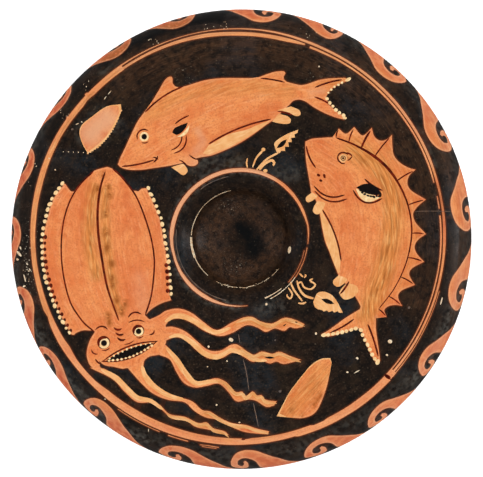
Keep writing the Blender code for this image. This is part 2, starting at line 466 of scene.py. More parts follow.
def paint_eye(draw, middle, white, iris, pupil, turn, lid, heavy, pale=DAB, socket=False):
    """An eye: pale, with a dark disc or ring, under a lid and over a fold.

    white, iris and pupil are radii. The lid is an arc of lid times the white's radius, heavy mm wide.
    """
    if socket:
        draw.seen(LINE, oval((middle[0] - 0.15, middle[1] + 0.35), white + 0.55))
    draw.seen(pale, oval(middle, white))
    draw.seen(INK, oval(middle, iris))
    if pupil:
        draw.seen(pale, oval(middle, iris - 0.35))
        draw.seen(INK, oval(middle, pupil))
    for share, start, end, width in ((lid, 190, 45, heavy), (1.35, 235, 300, 0.65)):
        angles = np.radians(np.linspace(start, end, 6) + turn)
        fold = np.array(middle) + share * white * np.column_stack([np.cos(angles), np.sin(angles)])
        draw.seen(LINE, stroke(fold, width))


def paint_lines(draw, *lines):
    """Thin relief lines, each an arc given by its two ends, its bulge to the left and its width."""
    for a, b, bulge, width in lines:
        draw.seen(LINE, stroke(bowed(a, b, bulge), LINE_SPREAD * width))


def paint_beads(draw, rng, points, count, radius, finish, stretch=1.3, stray=0.15):
    """Dabs at equal steps along a path, each a little different."""
    for x, y, heading in spaced(points, count):
        middle = (x + rng.uniform(-stray, stray), y + rng.uniform(-stray, stray))
        size = radius * rng.uniform(0.85, 1.15)
        longer = rng.uniform(1.0, stretch)
        draw.seen(finish, oval(middle, size, longer, heading + rng.uniform(-40, 40), points=9))


def paint_tunny(draw, rng):
    """A tunny that swims to the left, with a forked tail and four small rounded fins below."""
    draw.seen(CLAY, outline(
        [(-60.6, 36.9), (-59.2, 35.5), (-55.4, 34.3), (-48.7, 34.2), (-43, 35), (-33.9, 36.4), (-27.7, 37.8),
         (-20.3, 40.2), (-13.8, 41.4), (-5.2, 44.8), (0.5, 47.7), (6.7, 51.6), (12.9, 56.2), (17.5, 59.3)],
        [(25, 66.6), (27.2, 68.8), (30.2, 69.4), (33.3, 68.4), (37.5, 65.5), (42.7, 62.7), (47.9, 60.6),
         (52.6, 59.4)],
        [(52.8, 60.8), (48.4, 63.8), (45, 67.2), (43.5, 70.6)],
        [(44.7, 73), (47, 75.2), (50.1, 77.2), (54.8, 78.9)],
        [(53.1, 80.4), (44.8, 80), (40.1, 79.3), (35.9, 77.8), (31.2, 76.7), (27, 77.5), (23.9, 78.3)],
        [(22.4, 79.6), (22.4, 81.2), (23.3, 82.7), (22.6, 83.6), (18.7, 83.5), (14, 82.2), (10.1, 80.7)],
        [(6, 80.2), (-10, 80.1), (-18, 78.9), (-25.4, 76.6), (-29.8, 75.4)],
        [(-32, 76.1), (-33.2, 77.8), (-33.2, 79.9), (-33.9, 81), (-35.8, 80.4), (-37.2, 79), (-39.6, 74.9),
         (-43, 69.2)],
        [(-46.8, 63.9), (-50.6, 58.6), (-53.7, 52.4), (-56.8, 45.6), (-59.4, 40.2), (-60.6, 36.9)]))
    draw.brushed([(-58, 37), (-40, 48), (-20, 58), (0, 66), (20, 71), (50, 72)])
    # the small rounded fins at the throat and before the tail
    draw.seen(CREAM, outline([(-33.9, 35.5), (-30, 36.7), (-27.9, 37.1), (-26.2, 35.2), (-25.7, 33.5),
                              (-27.7, 31.5), (-31.5, 33.8)], step=SMALL_STEP))
    draw.seen(CLAY, outline([(-27.8, 37.9), (-24.8, 36.2), (-22.2, 36.2), (-20.6, 37.4), (-20.7, 39),
                             (-24.3, 41.4), (-29.1, 39.5)], step=SMALL_STEP))
    draw.seen(CREAM, outline([(26, 66), (30.2, 64), (30.8, 62.1), (29.4, 61.1), (23.9, 62.9), (19, 64)],
                             step=SMALL_STEP))
    draw.seen(CREAM, outline([(16.6, 58.4), (19.7, 57.6), (22.8, 57.2), (25.5, 57.7), (25.9, 59.3),
                              (24.7, 60.8), (20, 62.3)], step=SMALL_STEP))
    # a cream belly under a dark line
    draw.seen(CREAM, outline(
        [(-15.2, 46.4), (-9, 50), (-5.2, 52), (0.5, 53.5), (4.6, 54.6), (10, 57), (15.6, 59)],
        [(12.9, 56.4), (6.7, 52.2), (0.5, 48.4), (-5.2, 45.5), (-10, 43.5), (-15.2, 41.8), (-18, 42.4)]))
    paint_lines(
        draw, ((-15.2, 47.2), (15.8, 59.6), 1.6, 0.8), ((-47, 63), (-28, 76), 1.4, 0.75),
        ((10.8, 80.1), (22.8, 78.1), 0.3, 0.7), ((38, 75.5), (51.5, 79.4), 0.5, 0.8),
        ((37.7, 70.8), (46.8, 66), 0.5, 0.8), ((19.3, 63.6), (26.8, 61.7), 0.3, 0.8),
        ((-30, 39.2), (-26, 36.2), 0.4, 0.6), ((-25, 41.8), (-20.6, 39.2), -0.3, 0.6),
        # mouth and gill cover
        ((-58.6, 35.9), (-42.4, 39.2), -0.6, 0.75), ((-42.8, 37.9), (-40.6, 41.2), -0.4, 0.8),
        ((-43, 40.4), (-40.4, 39.4), 0.3, 0.7),
        ((-32.6, 42.4), (-26.4, 51.6), -2.4, 0.7), ((-34, 44), (-28.6, 52.4), -2.0, 0.6),
        ((-32, 57.2), (-25, 61.4), 0.4, 0.7))
    draw.seen(DAB, lens((-31.2, 50.6), (-24.8, 56.8), -0.6, 2.2))
    draw.seen(INK, outline([(-33.4, 52.9), (-32.4, 54.9), (-29.4, 56.5), (-25.6, 57.9)],
                            [(-26.4, 55.6), (-28.6, 53.0), (-31.2, 51.7), (-33.4, 52.9)], step=STROKE_STEP))
    paint_eye(draw, (-47.4, 50.8), 2.35, 1.4, 0, 12, 1.55, 0.8)
    # tail fins edged with dabs
    paint_beads(draw, rng, [(44.6, 73), (47.6, 75.6), (51.6, 77.9)], 5, 0.6, DAB)
    paint_beads(draw, rng, [(44, 69.8), (46.4, 66.4), (49.4, 63.6), (52.2, 61.4)], 6, 0.85, DAB)
    draw.seen(DAB, oval((54.6, 79.5), 0.85, 1.9, 30))
    draw.seen(DAB, oval((52.8, 60.3), 0.75, 1.5, -20))
    draw.zone("golden", [(-44, 62), (-30, 71), (-10, 75), (10, 75.5), (25, 74)], 7, 0.45)
    draw.zone("ruddy", [(-24, 45), (-12, 52), (4, 58), (18, 64)], 8, 0.25)
    draw.zone("pale", [(-20.5, 53.4), (-17.6, 47.7), (-21.5, 43.8)], 3.5, 0.7)
    draw.zone("pale", [(36, 73), (42, 74)], 3.5, 0.5)
    draw.zone("dusky", [(-10.5, 45.7)], 1.6, 0.5)
    draw.zone("dusky", [(3.3, 52.2)], 1.6, 0.5)


# The bream's back fin: spikes and the hollows between them, from the head to the tail
BREAM_BACK = [(48.5, 50.3), (57.6, 46.8), (67, 41.4), (73.8, 35.6), (79.5, 27.8), (84.2, 17.4), (86.3, 6.4),
              (86, -1.8), (83.1, -13.8), (77.3, -25.8), (69.8, -35.7)]
BREAM_SPIKES = (
    (49.9, 54.9), (57.6, 55.7), (66.4, 55.3), (76.5, 51.8), (88.3, 34.3), (93.4, 19.3), (93.5, 2),
    (92.6, -11.9), (88, -23.5), (81.6, -34.1), (73.8, -39.6),
)
BREAM_HOLLOWS = (
    [(53.5, 52.3)], [(61.8, 51.4)], [(67.3, 51.8), (69.1, 49.5), (71.7, 48.8), (74.3, 49.7)],
    [(76.7, 46.1), (77.5, 41.4), (80.6, 37.7), (85.3, 35.1)], [(85.3, 31.5), (84.2, 28.1), (85.3, 24.7)],
    [(88.9, 15.3), (87.1, 12.2), (87.9, 8.5)], [(89.3, -1.2), (87.8, -4.3), (88.8, -7.6)],
    [(86.4, -15.4), (85.1, -17.7), (86.2, -20.8)], [(81, -26.6), (79.6, -28.7), (80, -31.1)],
    [(78.5, -33.6), (74.8, -34.2), (72.7, -36.1)],
)


def paint_bream(draw, rng):
    """A bream that swims upwards, with a spiked fin along its back and a forked tail."""
    fin = [smooth([tip, *dip, after], OUTLINE_STEP)
           for tip, dip, after in zip(BREAM_SPIKES, BREAM_HOLLOWS, BREAM_SPIKES[1:])]
    within = smooth(BREAM_BACK[::-1], 2.0) - (1.5, 1.5)
    draw.seen(CLAY, np.vstack([[(46.5, 50.2)], *fin, [(68.6, -40.2)], within]))
    draw.seen(CLAY, outline(
        [(33.2, 48.4), (36.2, 49.7), (40.9, 50.2), *BREAM_BACK],
        [(68.5, -39.6), (68.5, -45.7), (69.2, -51.2), (70, -56.7), (70.6, -61.5)],
        [(69.1, -63.2), (66.6, -59.6), (64.4, -54.8), (62.9, -50.6), (61.5, -47), (59.4, -45)],
        [(57.6, -45.6), (52, -47.4), (46, -49.2), (41.8, -49.4)],
        [(41.2, -48.2), (43.9, -46.8), (48.3, -43.7), (53.1, -40.2), (57.5, -37.4), (60.3, -35.7)],
        [(60.8, -34.4), (59.9, -32.4), (56, -26), (52, -21.6), (49.8, -18.7), (48.4, -15.4), (45.1, -6.8),
         (43.2, -2.2), (41.7, 4.3), (40.4, 11.9), (38.8, 18), (36, 23.1)],
        [(35.7, 25.7), (34.9, 30.4), (33.6, 38.2), (33.1, 46.1), (33.2, 48.4)]))
    draw.brushed([(40, 47), (54, 38), (63, 24), (67, 6), (65, -12), (61, -28), (62, -44), (68, -60)])
    for points in ([(36.2, 22.6), (33.6, 20.5), (33.4, 18.9), (34.4, 17.9), (37, 18.9), (39.4, 21.4)],
                   [(39.2, 18.6), (37.3, 15.3), (37, 13.2), (38.3, 12), (40.2, 12.2), (43, 17.4)],
                   [(49.8, -18.7), (47.1, -21.4), (47.1, -22.9), (49.2, -24.5), (51.8, -23.4), (54, -20.6)],
                   [(50, -27.4), (51.2, -25.4), (54, -23), (58.6, -24), (59.7, -26), (57.7, -29.3),
                    (52.9, -30.9), (50.8, -29.1)]):
        draw.seen(CREAM, outline([*points, points[0]], step=SMALL_STEP))
    # a cream belly beside a dark line
    draw.seen(CREAM, outline(
        [(41.3, 14), (43.1, 10.4), (45.8, 5.8), (47.8, 1.6), (49.2, -3), (50.6, -10.9), (50.4, -17)],
        [(49.6, -17.6), (48.2, -14.6), (46.6, -10.6), (45.1, -6.4), (43.4, -1.8), (42, 4.3), (40.9, 11)]))
    paint_lines(
        draw, ((41.7, 14.2), (51.1, -11.5), 1.6, 0.75), ((55, -21.8), (50.6, -28), 0.3, 0.9),
        ((57.5, -40.6), (45.5, -47.6), 0.5, 0.8), ((64.4, -43.2), (69.6, -59.4), 0.4, 0.85),
        # mouth, two folds behind it and the nostrils
        ((33.6, 46.2), (38.4, 35.2), -0.8, 0.8), ((37.5, 26), (52.9, 21.6), -3.0, 0.75),
        ((37.8, 23.6), (54, 19.6), -3.2, 0.75), ((39, 32), (40.6, 31), 0, 1.15),
        ((42.4, 32.2), (43, 30), 0, 1.1), ((40.2, 29.2), (41.6, 28.4), 0, 1.1),
        # above and below the gill opening
        ((62.8, 29.6), (71.8, 23.8), -0.6, 0.85), ((57, 24), (71.6, 19.8), -4.2, 0.8))
    draw.seen(LINE, stroke(BREAM_BACK, [0.8, 1.0, 1.5, 1.4, 1.0, 0.85, 0.8, 0.7, 0.6, 0.55, 0.5]))
    # one bowed line down each spike
    back = smooth(BREAM_BACK, 1.0)
    for k, tip in enumerate(BREAM_SPIKES):
        root = back[np.argmin(np.linalg.norm(back - tip, axis=1))]
        end = root + (np.array(tip) - root) * 0.85
        draw.seen(LINE, stroke(bowed(root, end, 0.3), 1.1 if k == 2 else 0.75))
    paint_eye(draw, (52.1, 40), 2.0, 1.3, 0.6, -8, 1.45, 0.8, CREAM)
    paint_lines(draw, ((53.4, 42.7), (56.6, 41.1), 0.4, 0.8), ((54.2, 38.8), (56.6, 41.1), -0.3, 0.6),
                ((49.4, 41.4), (51.5, 37.5), -0.9, 0.7))
    # the gill opening with its fringed edge
    draw.seen(DAB, lens((58.4, 24.8), (71, 20.6), -0.4, 4.6))
    draw.seen(INK, lens((58.6, 25.4), (71.6, 21.8), 3.6, 1.6))
    paint_beads(draw, rng, bowed((60.6, 24.0), (70.4, 21.2), -1.5), 8, 0.6, INK, 1.6)
    # tail fins edged with dabs
    paint_beads(draw, rng, [(44.5, -48.6), (51, -47.4), (58.4, -45.4)], 7, 0.95, DAB)
    paint_beads(draw, rng, [(60.8, -46.2), (63.2, -51.4), (66.2, -57.8), (68, -60.6)], 7, 0.9, DAB)
    draw.seen(DAB, oval((42.4, -48.7), 0.95, 1.5, 10))
    draw.seen(DAB, oval((69.3, -62.2), 1.05, 1.4, 70))
    draw.zone("golden", [(57.6, 44.5), (67, 37.5), (75.5, 26), (77.3, 12), (75.5, -4), (71, -20), (66, -34),
                         (64, -38)], 10)
    for spike in BREAM_SPIKES[2:]:
        draw.zone("ruddy", [spike], 8, 0.7)
    draw.zone("ruddy", [(52, 30), (54, 14), (58, -2)], 8, 0.3)
    draw.zone("dusky", [(59.7, 40.5), (64.2, 36.5)], 1.2, 0.6)


# The cuttlefish: the lines of its mantle and the outer edges of its fins, from above downwards
MANTLE_RIGHT = [(-66, 35.7), (-63.2, 34.7), (-59.8, 31.8), (-56.5, 28), (-51.7, 21.3), (-47.4, 11.3),
                (-43.8, -0.7), (-42.4, -10), (-42.4, -16), (-44, -29.4), (-46.9, -38.8)]
MANTLE_LEFT = [(-66, 35.7), (-72.7, 33.5), (-78.9, 27.5), (-83.7, 20.3), (-87.5, 9.3), (-88.9, -6.4),
               (-87.3, -21.4), (-84, -33), (-80.8, -38.3), (-77.3, -42.8), (-72.1, -47.2)]
MANTLE_MIDDLE = [(-66.9, 33.3), (-69.1, 26.1), (-70.6, 15), (-70.4, 3), (-68.6, -10), (-65.9, -24.5),
                 (-60.1, -41.5)]
LEFT_FIN = [(-88.1, 27.4), (-91.7, 22.7), (-94.6, 17.3), (-96.2, 11), (-97.7, 5), (-98.6, -3), (-97.7, -15),
            (-95.6, -24.1), (-93.1, -31.4), (-88.7, -41), (-84.9, -47.7)]
RIGHT_FIN = [(-45.5, 25), (-42.7, 19), (-40.2, 12.8), (-38.3, 7.2), (-37.3, 0.7), (-35.7, -8.3),
             (-34.4, -18.2), (-34.2, -28.1)]

# Each arm: its upper edge from the root to the tip, its lower edge back to the root, its cream stripe
ARMS = (
    ([(-44.5, -40.8), (-39.8, -38.6), (-36.7, -36.5), (-30, -35.4), (-23.8, -37.5), (-17.9, -42),
      (-12.4, -45.8), (-9.7, -45.9), (-3.8, -42.5), (2.5, -39.8), (6.4, -39.5), (10.9, -41.8), (16.5, -42.8),
      (21.4, -40.4), (23.5, -39.9), (28.3, -41.1), (32.8, -43.2)],
     [(31.8, -44.7), (28, -45.3), (25.4, -44.7), (22.8, -46.5), (17.9, -45.4), (13.4, -47.1), (9.2, -44.9),
      (4, -43.7), (-3.4, -47.6), (-9.3, -49.2), (-17.1, -46.7), (-23.4, -42.7), (-29.6, -40.4),
      (-34.7, -41.4), (-37.3, -44.7)],
     [(-37, -42), (-32, -39.2), (-27, -39.6), (-20, -43), (-12, -47.3), (-4, -45)]),
    ([(-37.3, -44.7), (-33.2, -44.5), (-26.9, -46.8), (-21, -51.7), (-15.2, -56.2), (-9.3, -56.4),
      (-3.8, -53.5), (-1.1, -53.4), (4.6, -57.2), (7.5, -58.5), (11.3, -56.9), (16.8, -58), (20, -57),
      (25.5, -59.1), (31, -61.1)],
     [(27.6, -62.1), (22.1, -63.2), (18.6, -62), (15.5, -62.9), (10.9, -61.3), (6.8, -62.1), (2.5, -59.7),
      (-2.6, -57.3), (-8.5, -60.2), (-14.8, -60.5), (-21, -56.6), (-26.5, -51.5), (-31.6, -49.7),
      (-36.7, -51.5)],
     [(-35, -49.8), (-30, -48.8), (-24, -52), (-17, -58), (-11, -59.6), (-4, -56.4), (2, -58), (8, -61),
      (14, -61.4)]),
    ([(-37.5, -52.9), (-33.9, -56.4), (-29.2, -62.3), (-24.5, -69.3), (-20.2, -72.5), (-11.5, -70.3),
      (-6.8, -72), (-1.3, -77.3), (1.6, -77), (3.4, -79.2), (6.9, -76.9), (9.2, -79), (11.3, -78.7),
      (12.8, -80.8), (18.9, -81.9)],
     [(17.6, -84), (13.9, -84.8), (8.4, -81.6), (4.8, -81), (-1.3, -81.9), (-5.3, -77.3), (-10.1, -73.1),
      (-15.9, -74.1), (-22, -75), (-27.3, -72.9), (-31.2, -67.4), (-34.7, -60.9), (-39.8, -58.6)],
     [(-36.4, -54.8), (-31.6, -60.6), (-26.5, -68), (-21.6, -72.8), (-14, -71.9), (-8.6, -72)]),
    ([(-47.4, -61.7), (-47.7, -64.7), (-44, -72.1), (-37.9, -76.9), (-30, -79.7), (-23.1, -82.1),
      (-18.3, -86.3), (-14.7, -86.9), (-9.2, -90.3), (-3.4, -92.8), (3.6, -93.8), (8.4, -95.4), (15, -97)],
     [(14.4, -98.5), (7.8, -98), (3, -97.3), (-2.5, -95.3), (-10.4, -91.3), (-17.1, -89.8), (-22.7, -86.4),
      (-27, -82.5), (-35.3, -81.2), (-42.7, -78.2), (-48.3, -73.4), (-55.3, -65.6)],
     [(-48.4, -64), (-47, -69), (-42, -74.8), (-35, -79), (-27, -81.2)]),
    ([(-69.6, -64.3), (-64.4, -67.3), (-57.9, -72.1), (-52.7, -78.2), (-46.6, -80.8), (-40, -83.4),
      (-34.8, -88.2), (-27, -89.7), (-19.9, -92.8), (-16.2, -92.4), (-12.9, -95.3), (-7.1, -97),
      (-5, -98.9)],
     [(-7.7, -98), (-15, -96.2), (-22.2, -94.5), (-27, -91), (-33.5, -90.6), (-38.7, -86), (-43.1, -82.7),
      (-50.9, -82.3), (-57.4, -76.9), (-62.7, -71.2), (-74.4, -65.1)],
     [(-69, -65.8), (-62, -69.8), (-56, -75.6), (-51, -80), (-44, -81.8), (-38, -86)]),
)


def paint_cuttlefish(draw, rng):
    """A cuttlefish from above: a mantle between two beaded fins, a round-eyed head and five arms."""
    draw.seen(CLAY, outline(
        [(-81.8, 23.5), (-83.7, 23.3), (-85.2, 24.7), (-86.8, 27), (-88.1, 27.4)],
        np.array(LEFT_FIN) + (0.7, 0.0),
        [(-84.9, -47.7), (-82.9, -48.6), (-80.8, -47.3), (-77.7, -46.3), (-74.6, -46.4)],
        [(-70, -46), (-80, -20), (-80, 10)]))
    draw.seen(CLAY, outline(
        [(-56, 22.6), (-52.4, 23.7), (-50.2, 23.5), (-48.8, 24.7), (-45.5, 25)],
        np.array(RIGHT_FIN) - (0.7, 0.0),
        [(-33.9, -31.2), (-38.9, -32.8), (-43.8, -35.7), (-47.3, -39.2)],
        [(-52, -38), (-50, -10), (-56, 10)]))
    draw.seen(CLAY, outline(MANTLE_LEFT, [(-60, -50), (-46.9, -38.8)], MANTLE_RIGHT[::-1]))
    for path in (MANTLE_MIDDLE, LEFT_FIN, RIGHT_FIN):
        draw.brushed(path)
    draw.seen(CLAY, outline(
        [(-72.1, -47.2), (-74.6, -51.3), (-76.2, -57.4), (-75.8, -60.8), (-74.3, -64.1), (-71, -66)],
        [(-69.6, -64.6), (-63.9, -64.4), (-58.1, -65.6), (-55.7, -65.3), (-53, -67.2)],
        [(-47.8, -66), (-47.4, -61.7), (-44.6, -59.4), (-41.5, -58.8), (-39.4, -58.4)],
        [(-36.6, -52.8), (-36.2, -48.6), (-36.6, -44)], [(-41, -40), (-44.5, -40.8), (-46.9, -38.8)],
        [(-56, -38), (-66, -42), (-72.1, -47.2)]))
    draw.seen(SLIP, lens((-44.4, -40.8), (-37.6, -36.6), -0.9, 0.2))
    for above, below, stripe in ARMS:
        draw.seen(CLAY, outline(above, below, [below[-1], above[0]]))
        draw.seen(CREAM, stroke(stripe, [1.5, 2.8, 2.6, 2.2, 1.5], tip=0.5, tail=0.4))
        rest = smooth(above, 2.0)
        rest = rest[int(0.55 * len(rest)):] - (0.0, 1.2)
        draw.seen(CREAM, stroke(rest, [0.6, 1.9, 1.4, 1.9, 1.2, 1.6, 0.6]))
        draw.zone("golden", rest, 4, 0.6)
        draw.brushed(above)
    draw.seen(INK, oval((22.8, -43.7), 0.3, 3.0, 33))
    draw.seen(INK, oval((28.6, -42.2), 0.3, 2.4, -15))
    draw.seen(INK, lens((12.7, -59.8), (17.9, -60.1), 0.5, 0.6))
    # dabs along both fins: notches of ground between them above, dark dots inside them below
    for edge, count, inwards, low in ((LEFT_FIN, 27, 1.0, 3.0), (RIGHT_FIN, 18, -1.0, -10.0)):
        path = spaced(edge, count)
        for (x1, y1, _), (x2, y2, _) in zip(path, path[1:]):
            x, y = (x1 + x2) / 2, (y1 + y2) / 2
            if y1 > low:
                draw.seen(SLIP, oval((x - inwards * 0.3, y), 0.85, 1.5, rng.uniform(-25, 25)))
            else:
                draw.seen(LINE, oval((x + inwards * 1.5, y), rng.uniform(0.7, 1.0), 1.2, 90))
        paint_beads(draw, rng, edge, count, 0.88, DAB, 1.5, 0.25)
    draw.seen(LINE, stroke(MANTLE_LEFT[1:], 0.8))
    draw.seen(LINE, stroke(MANTLE_RIGHT[1:], 0.85))
    draw.seen(LINE, stroke(MANTLE_MIDDLE, [0.85, 1.2, 1.3, 1.3, 1.15, 1.0, 0.85]))
    draw.zone("ruddy", [(-93, 12), (-95, -10), (-90, -32)], 8, 0.35)
    draw.zone("ruddy", [(-41, 12), (-38, -6), (-37, -26)], 8, 0.3)
    draw.zone("ruddy", [(-58, 18), (-54, -10), (-54, -32)], 13, 0.25)
    draw.zone("ruddy", [(-82, 8), (-82, -20), (-76, -40)], 10, 0.25)
    # the head: two eyes, folds between them, a wide mouth with two rows of teeth
    paint_eye(draw, (-67.5, -52.7), 2.75, 1.5, 0, 20, 0.95, 1.1, socket=True)
    paint_eye(draw, (-50.2, -46.8), 2.45, 1.4, 0, 15, 0.95, 1.0, socket=True)
    paint_lines(
        draw, ((-71.8, -46), (-65.6, -45.8), 1.6, 0.75), ((-55.4, -39.8), (-48.8, -38.2), 1.7, 0.75),
        ((-55.2, -42.4), (-47.2, -42), 1.0, 0.6), ((-73.8, -56), (-70.6, -58.2), -0.9, 0.7),
        ((-71.8, -60.6), (-69.2, -63.2), -0.4, 0.8), ((-44.8, -48.4), (-42.4, -46.2), -0.9, 0.7),
        ((-57.4, -53.4), (-52.6, -51.4), -0.5, 0.5))
    for k in range(3):
        left, right = (-62.6 + 0.9 * k, -44.9 - 2.5 * k), (-58.6 + 0.9 * k, -45.4 - 2.7 * k)
        paint_lines(draw, (left, right, -0.9, 1.0))
    draw.seen(LINE, lens((-69, -62.2), (-40.4, -51.5), 2.9, 3.7))
    draw.seen(CLAY, lens((-67.4, -61.6), (-41.8, -52.1), 2.1, 2.8))
    draw.seen(INK, lens((-66.6, -61.4), (-42.6, -52.5), 1.5, 2.5))
    paint_beads(draw, rng, bowed((-64.6, -60.4), (-44.4, -52.8), 1.3), 10, 0.5, DAB, 1.2, 0.1)
    paint_beads(draw, rng, bowed((-65.0, -61.5), (-43.6, -53.9), -1.75), 12, 0.55, DAB, 1.2, 0.1)
    draw.seen(SLIP, outline([(-69.9, -61.6), (-67.6, -63.6), (-64.4, -64.5)],
                            [(-66.6, -65.6), (-69.2, -65), (-69.9, -61.6)]))
    draw.zone("golden", [(-73.5, 25), (-75, 12), (-75, 0), (-73.5, -10), (-71, -18)], 5.8)
    draw.zone("golden", [(-67, 24), (-67, 12), (-66.8, 2), (-65.5, -8), (-62.5, -28), (-60.5, -36)], 4.3)
    # the old stains beside the middle line, each a short upright one
    for x, y, reach in (
            (-66.7, 12, 2.1), (-66.5, 3.1, 2.1), (-66, -5, 2.8), (-63.6, -13, 2.1), (-63.4, -20, 2.0),
            (-63.2, -23.4, 2.0), (-61, -31.2, 2.1), (-58.7, -37, 2.7), (-57, -33, 1.8),
            (-67.9, 31.8, 2.0), (-65.3, 25.6, 1.9), (-70.8, 24.8, 2.4), (-64.6, 21.3, 1.9),
            (-64.8, -42.4, 2.2), (-65.4, -39.2, 2.2)):
        draw.zone("dusky", [(x, y + 0.8), (x, y - 0.8)], reach)
    draw.zone("ruddy", [(2, -96), (10, -97)], 2.5, 0.9)
    draw.zone("pale", [(-50, -20), (-48, -34)], 7, 0.35)
    draw.zone("ruddy", [(-76, 27), (-79, 10)], 4.5, 0.5)
    draw.zone("ruddy", [(-59, 26), (-54, 12), (-51, 2)], 4.5, 0.4)


def paint_shells(draw, rng):
    """Two shells beside the rim: an open fan at the upper left, a long one at the lower right."""
    shell = [(-59.1, 67.1), (-66, 66), (-73.9, 60.6), (-78.7, 56.5), (-79.8, 52.8), (-78.4, 47.5),
             (-75.6, 42.4)]
    edge = [(-75.6, 42.4), (-72.2, 44.4), (-67.1, 48.9), (-62.3, 56), (-58.9, 63.9), (-59.1, 67.1)]
    draw.seen(CREAM, outline(shell, edge))
    draw.seen(CLAY, outline(
        [(-60.1, 66.4), (-66, 65.7), (-73.7, 60.3), (-78.4, 56.2), (-79.5, 52.8), (-78.1, 47.7),
         (-75.5, 43.2)],
        [(-72.5, 45.4), (-67.7, 49.6), (-63, 56.4), (-59.8, 64), (-60.4, 66)]))
    paint_beads(draw, rng, edge[:-1], 20, 0.4, CREAM, 1.2, 0.1)
    draw.brushed([(-77, 46), (-60, 66)])
    draw.zone("pale", [(-74, 52), (-66, 60)], 11)
    draw.zone("ruddy", [(-67.4, 52.3)], 3, 0.4)
    foot = [(27.5, -90.2), (32.4, -90.2), (38, -87.6), (42.5, -78.8), (44.8, -70.7)]
    draw.seen(CREAM, outline(
        [(45.6, -60.2), (41.2, -60.6), (36.3, -63.5), (31.8, -68.7), (25.3, -77.2), (22.3, -82.7),
         (18.9, -89.3)], [(20.4, -89.6), *foot, (46.3, -62.5)]))
    draw.seen(CLAY, outline(
        [(45, -60.8), (41.3, -61.2), (36.7, -63.9), (32.1, -69), (25.6, -77.5), (22.7, -83), (20.2, -88)],
        [(24, -89.8), *foot, (46.1, -62.5)]))
    draw.brushed([(22, -88), (45, -62)])
    draw.zone("golden", [(26, -86), (33, -78), (41, -68)], 10, 0.6)
    draw.zone("dusky", [(41.2, -78.8), (37.3, -84)], 1.5, 0.8)
    for x, y in ((26.2, -86.3), (21.5, -88), (31.5, -89.1)):
        draw.zone("dusky", [(x, y)], 1.6, 0.7)


def paint_shellfish(draw):
    """Two small shellfish beside the cup, cream on black, each a scalloped body on curling stalks."""
    draw.seen(CREAM, outline(
        [(18.2, 44.7), (17.6, 47.3), (18.7, 48.8), (21.8, 50.9), (26, 53), (29.6, 54.3)],
        [(29.3, 52.8), (27.7, 52)], [(28, 50.4), (26, 50.2)], [(26.4, 48.2), (24.6, 48)],
        [(24.9, 45.8), (23, 45.8)], [(23, 43.6), (21.2, 43.8)], [(20.4, 42.6), (18.8, 43.2)],
        step=SMALL_STEP))
    draw.seen(INK, lens((18.8, 45.0), (23.9, 49.5), 0.9, 1.3))
    draw.seen(CREAM, outline(
        [(38, -29.7), (39.4, -27.5), (42.3, -26.9), (46.4, -28.6), (49.1, -32), (51.9, -37.4)],
        [(50.4, -37.6), (49.2, -36.7)], [(47.6, -37.4), (46.6, -36.5)], [(45, -37.2), (43.8, -36.3)],
        [(42.4, -36.9), (41.4, -36.1)], [(39.6, -35.8), (38, -34.7), (37.1, -32.2)], step=SMALL_STEP))
    draw.seen(INK, lens((41.2, -30.6), (47.6, -33), 1.1, 1.1))
    for points, width in (
            ([(19.7, 42.8), (14, 39.6), (8.8, 34.2)], 1.0), ([(4.2, 35.3), (3.8, 37.6), (4.2, 40)], 0.8),
            ([(6.8, 35.5), (8.6, 40), (11.9, 43.9)], [0.8, 0.8, 1.3]),
            ([(10.3, 34.2), (12.1, 36.6), (14.2, 38.1), (16.6, 38.9), (17.6, 37.6), (17, 36.3)], 1.3),
            ([(37.3, -30.4), (32.8, -28.8), (29.9, -24.9), (29, -21.3)], [1.25, 1.1, 0.8]),
            ([(31.2, -22), (32.6, -24.7), (36, -25.6), (38.1, -23.4), (36.2, -21.9), (35.5, -21.2),
              (37, -20.4)], 0.85),
            ([(25.7, -22), (27.4, -25.9), (30.5, -30.1), (31.7, -31.7)], 0.9),
            ([(29.6, -32.6), (31.6, -32.9), (33.6, -32.2)], 0.9),
            ([(24.7, -24.9), (26.6, -28.3), (25.6, -30.4), (24, -29), (24.2, -28.2)], 0.8),
            ([(30.2, -17.8), (32, -19.5)], 0.85), ([(32.6, -19.9), (33.5, -18.8), (32.9, -18.3)], 0.75),
            ([(29.6, -22.6), (31.2, -22)], 0.9)):
        draw.seen(CREAM, stroke(points, width, step=DAB_STEP, tip=0.6, tail=0.6))
    draw.seen(CREAM, oval((13.2, 33.7), 0.9, 1.2))
    draw.seen(CREAM, oval((12.2, 44.4), 0.9, 1.1))


# Where the rim is chipped, from one angle to another
CHIPPED_ARCS = ((92, 100), (112, 116), (133, 136), (143, 146), (157, 166), (182, 192), (69, 75))


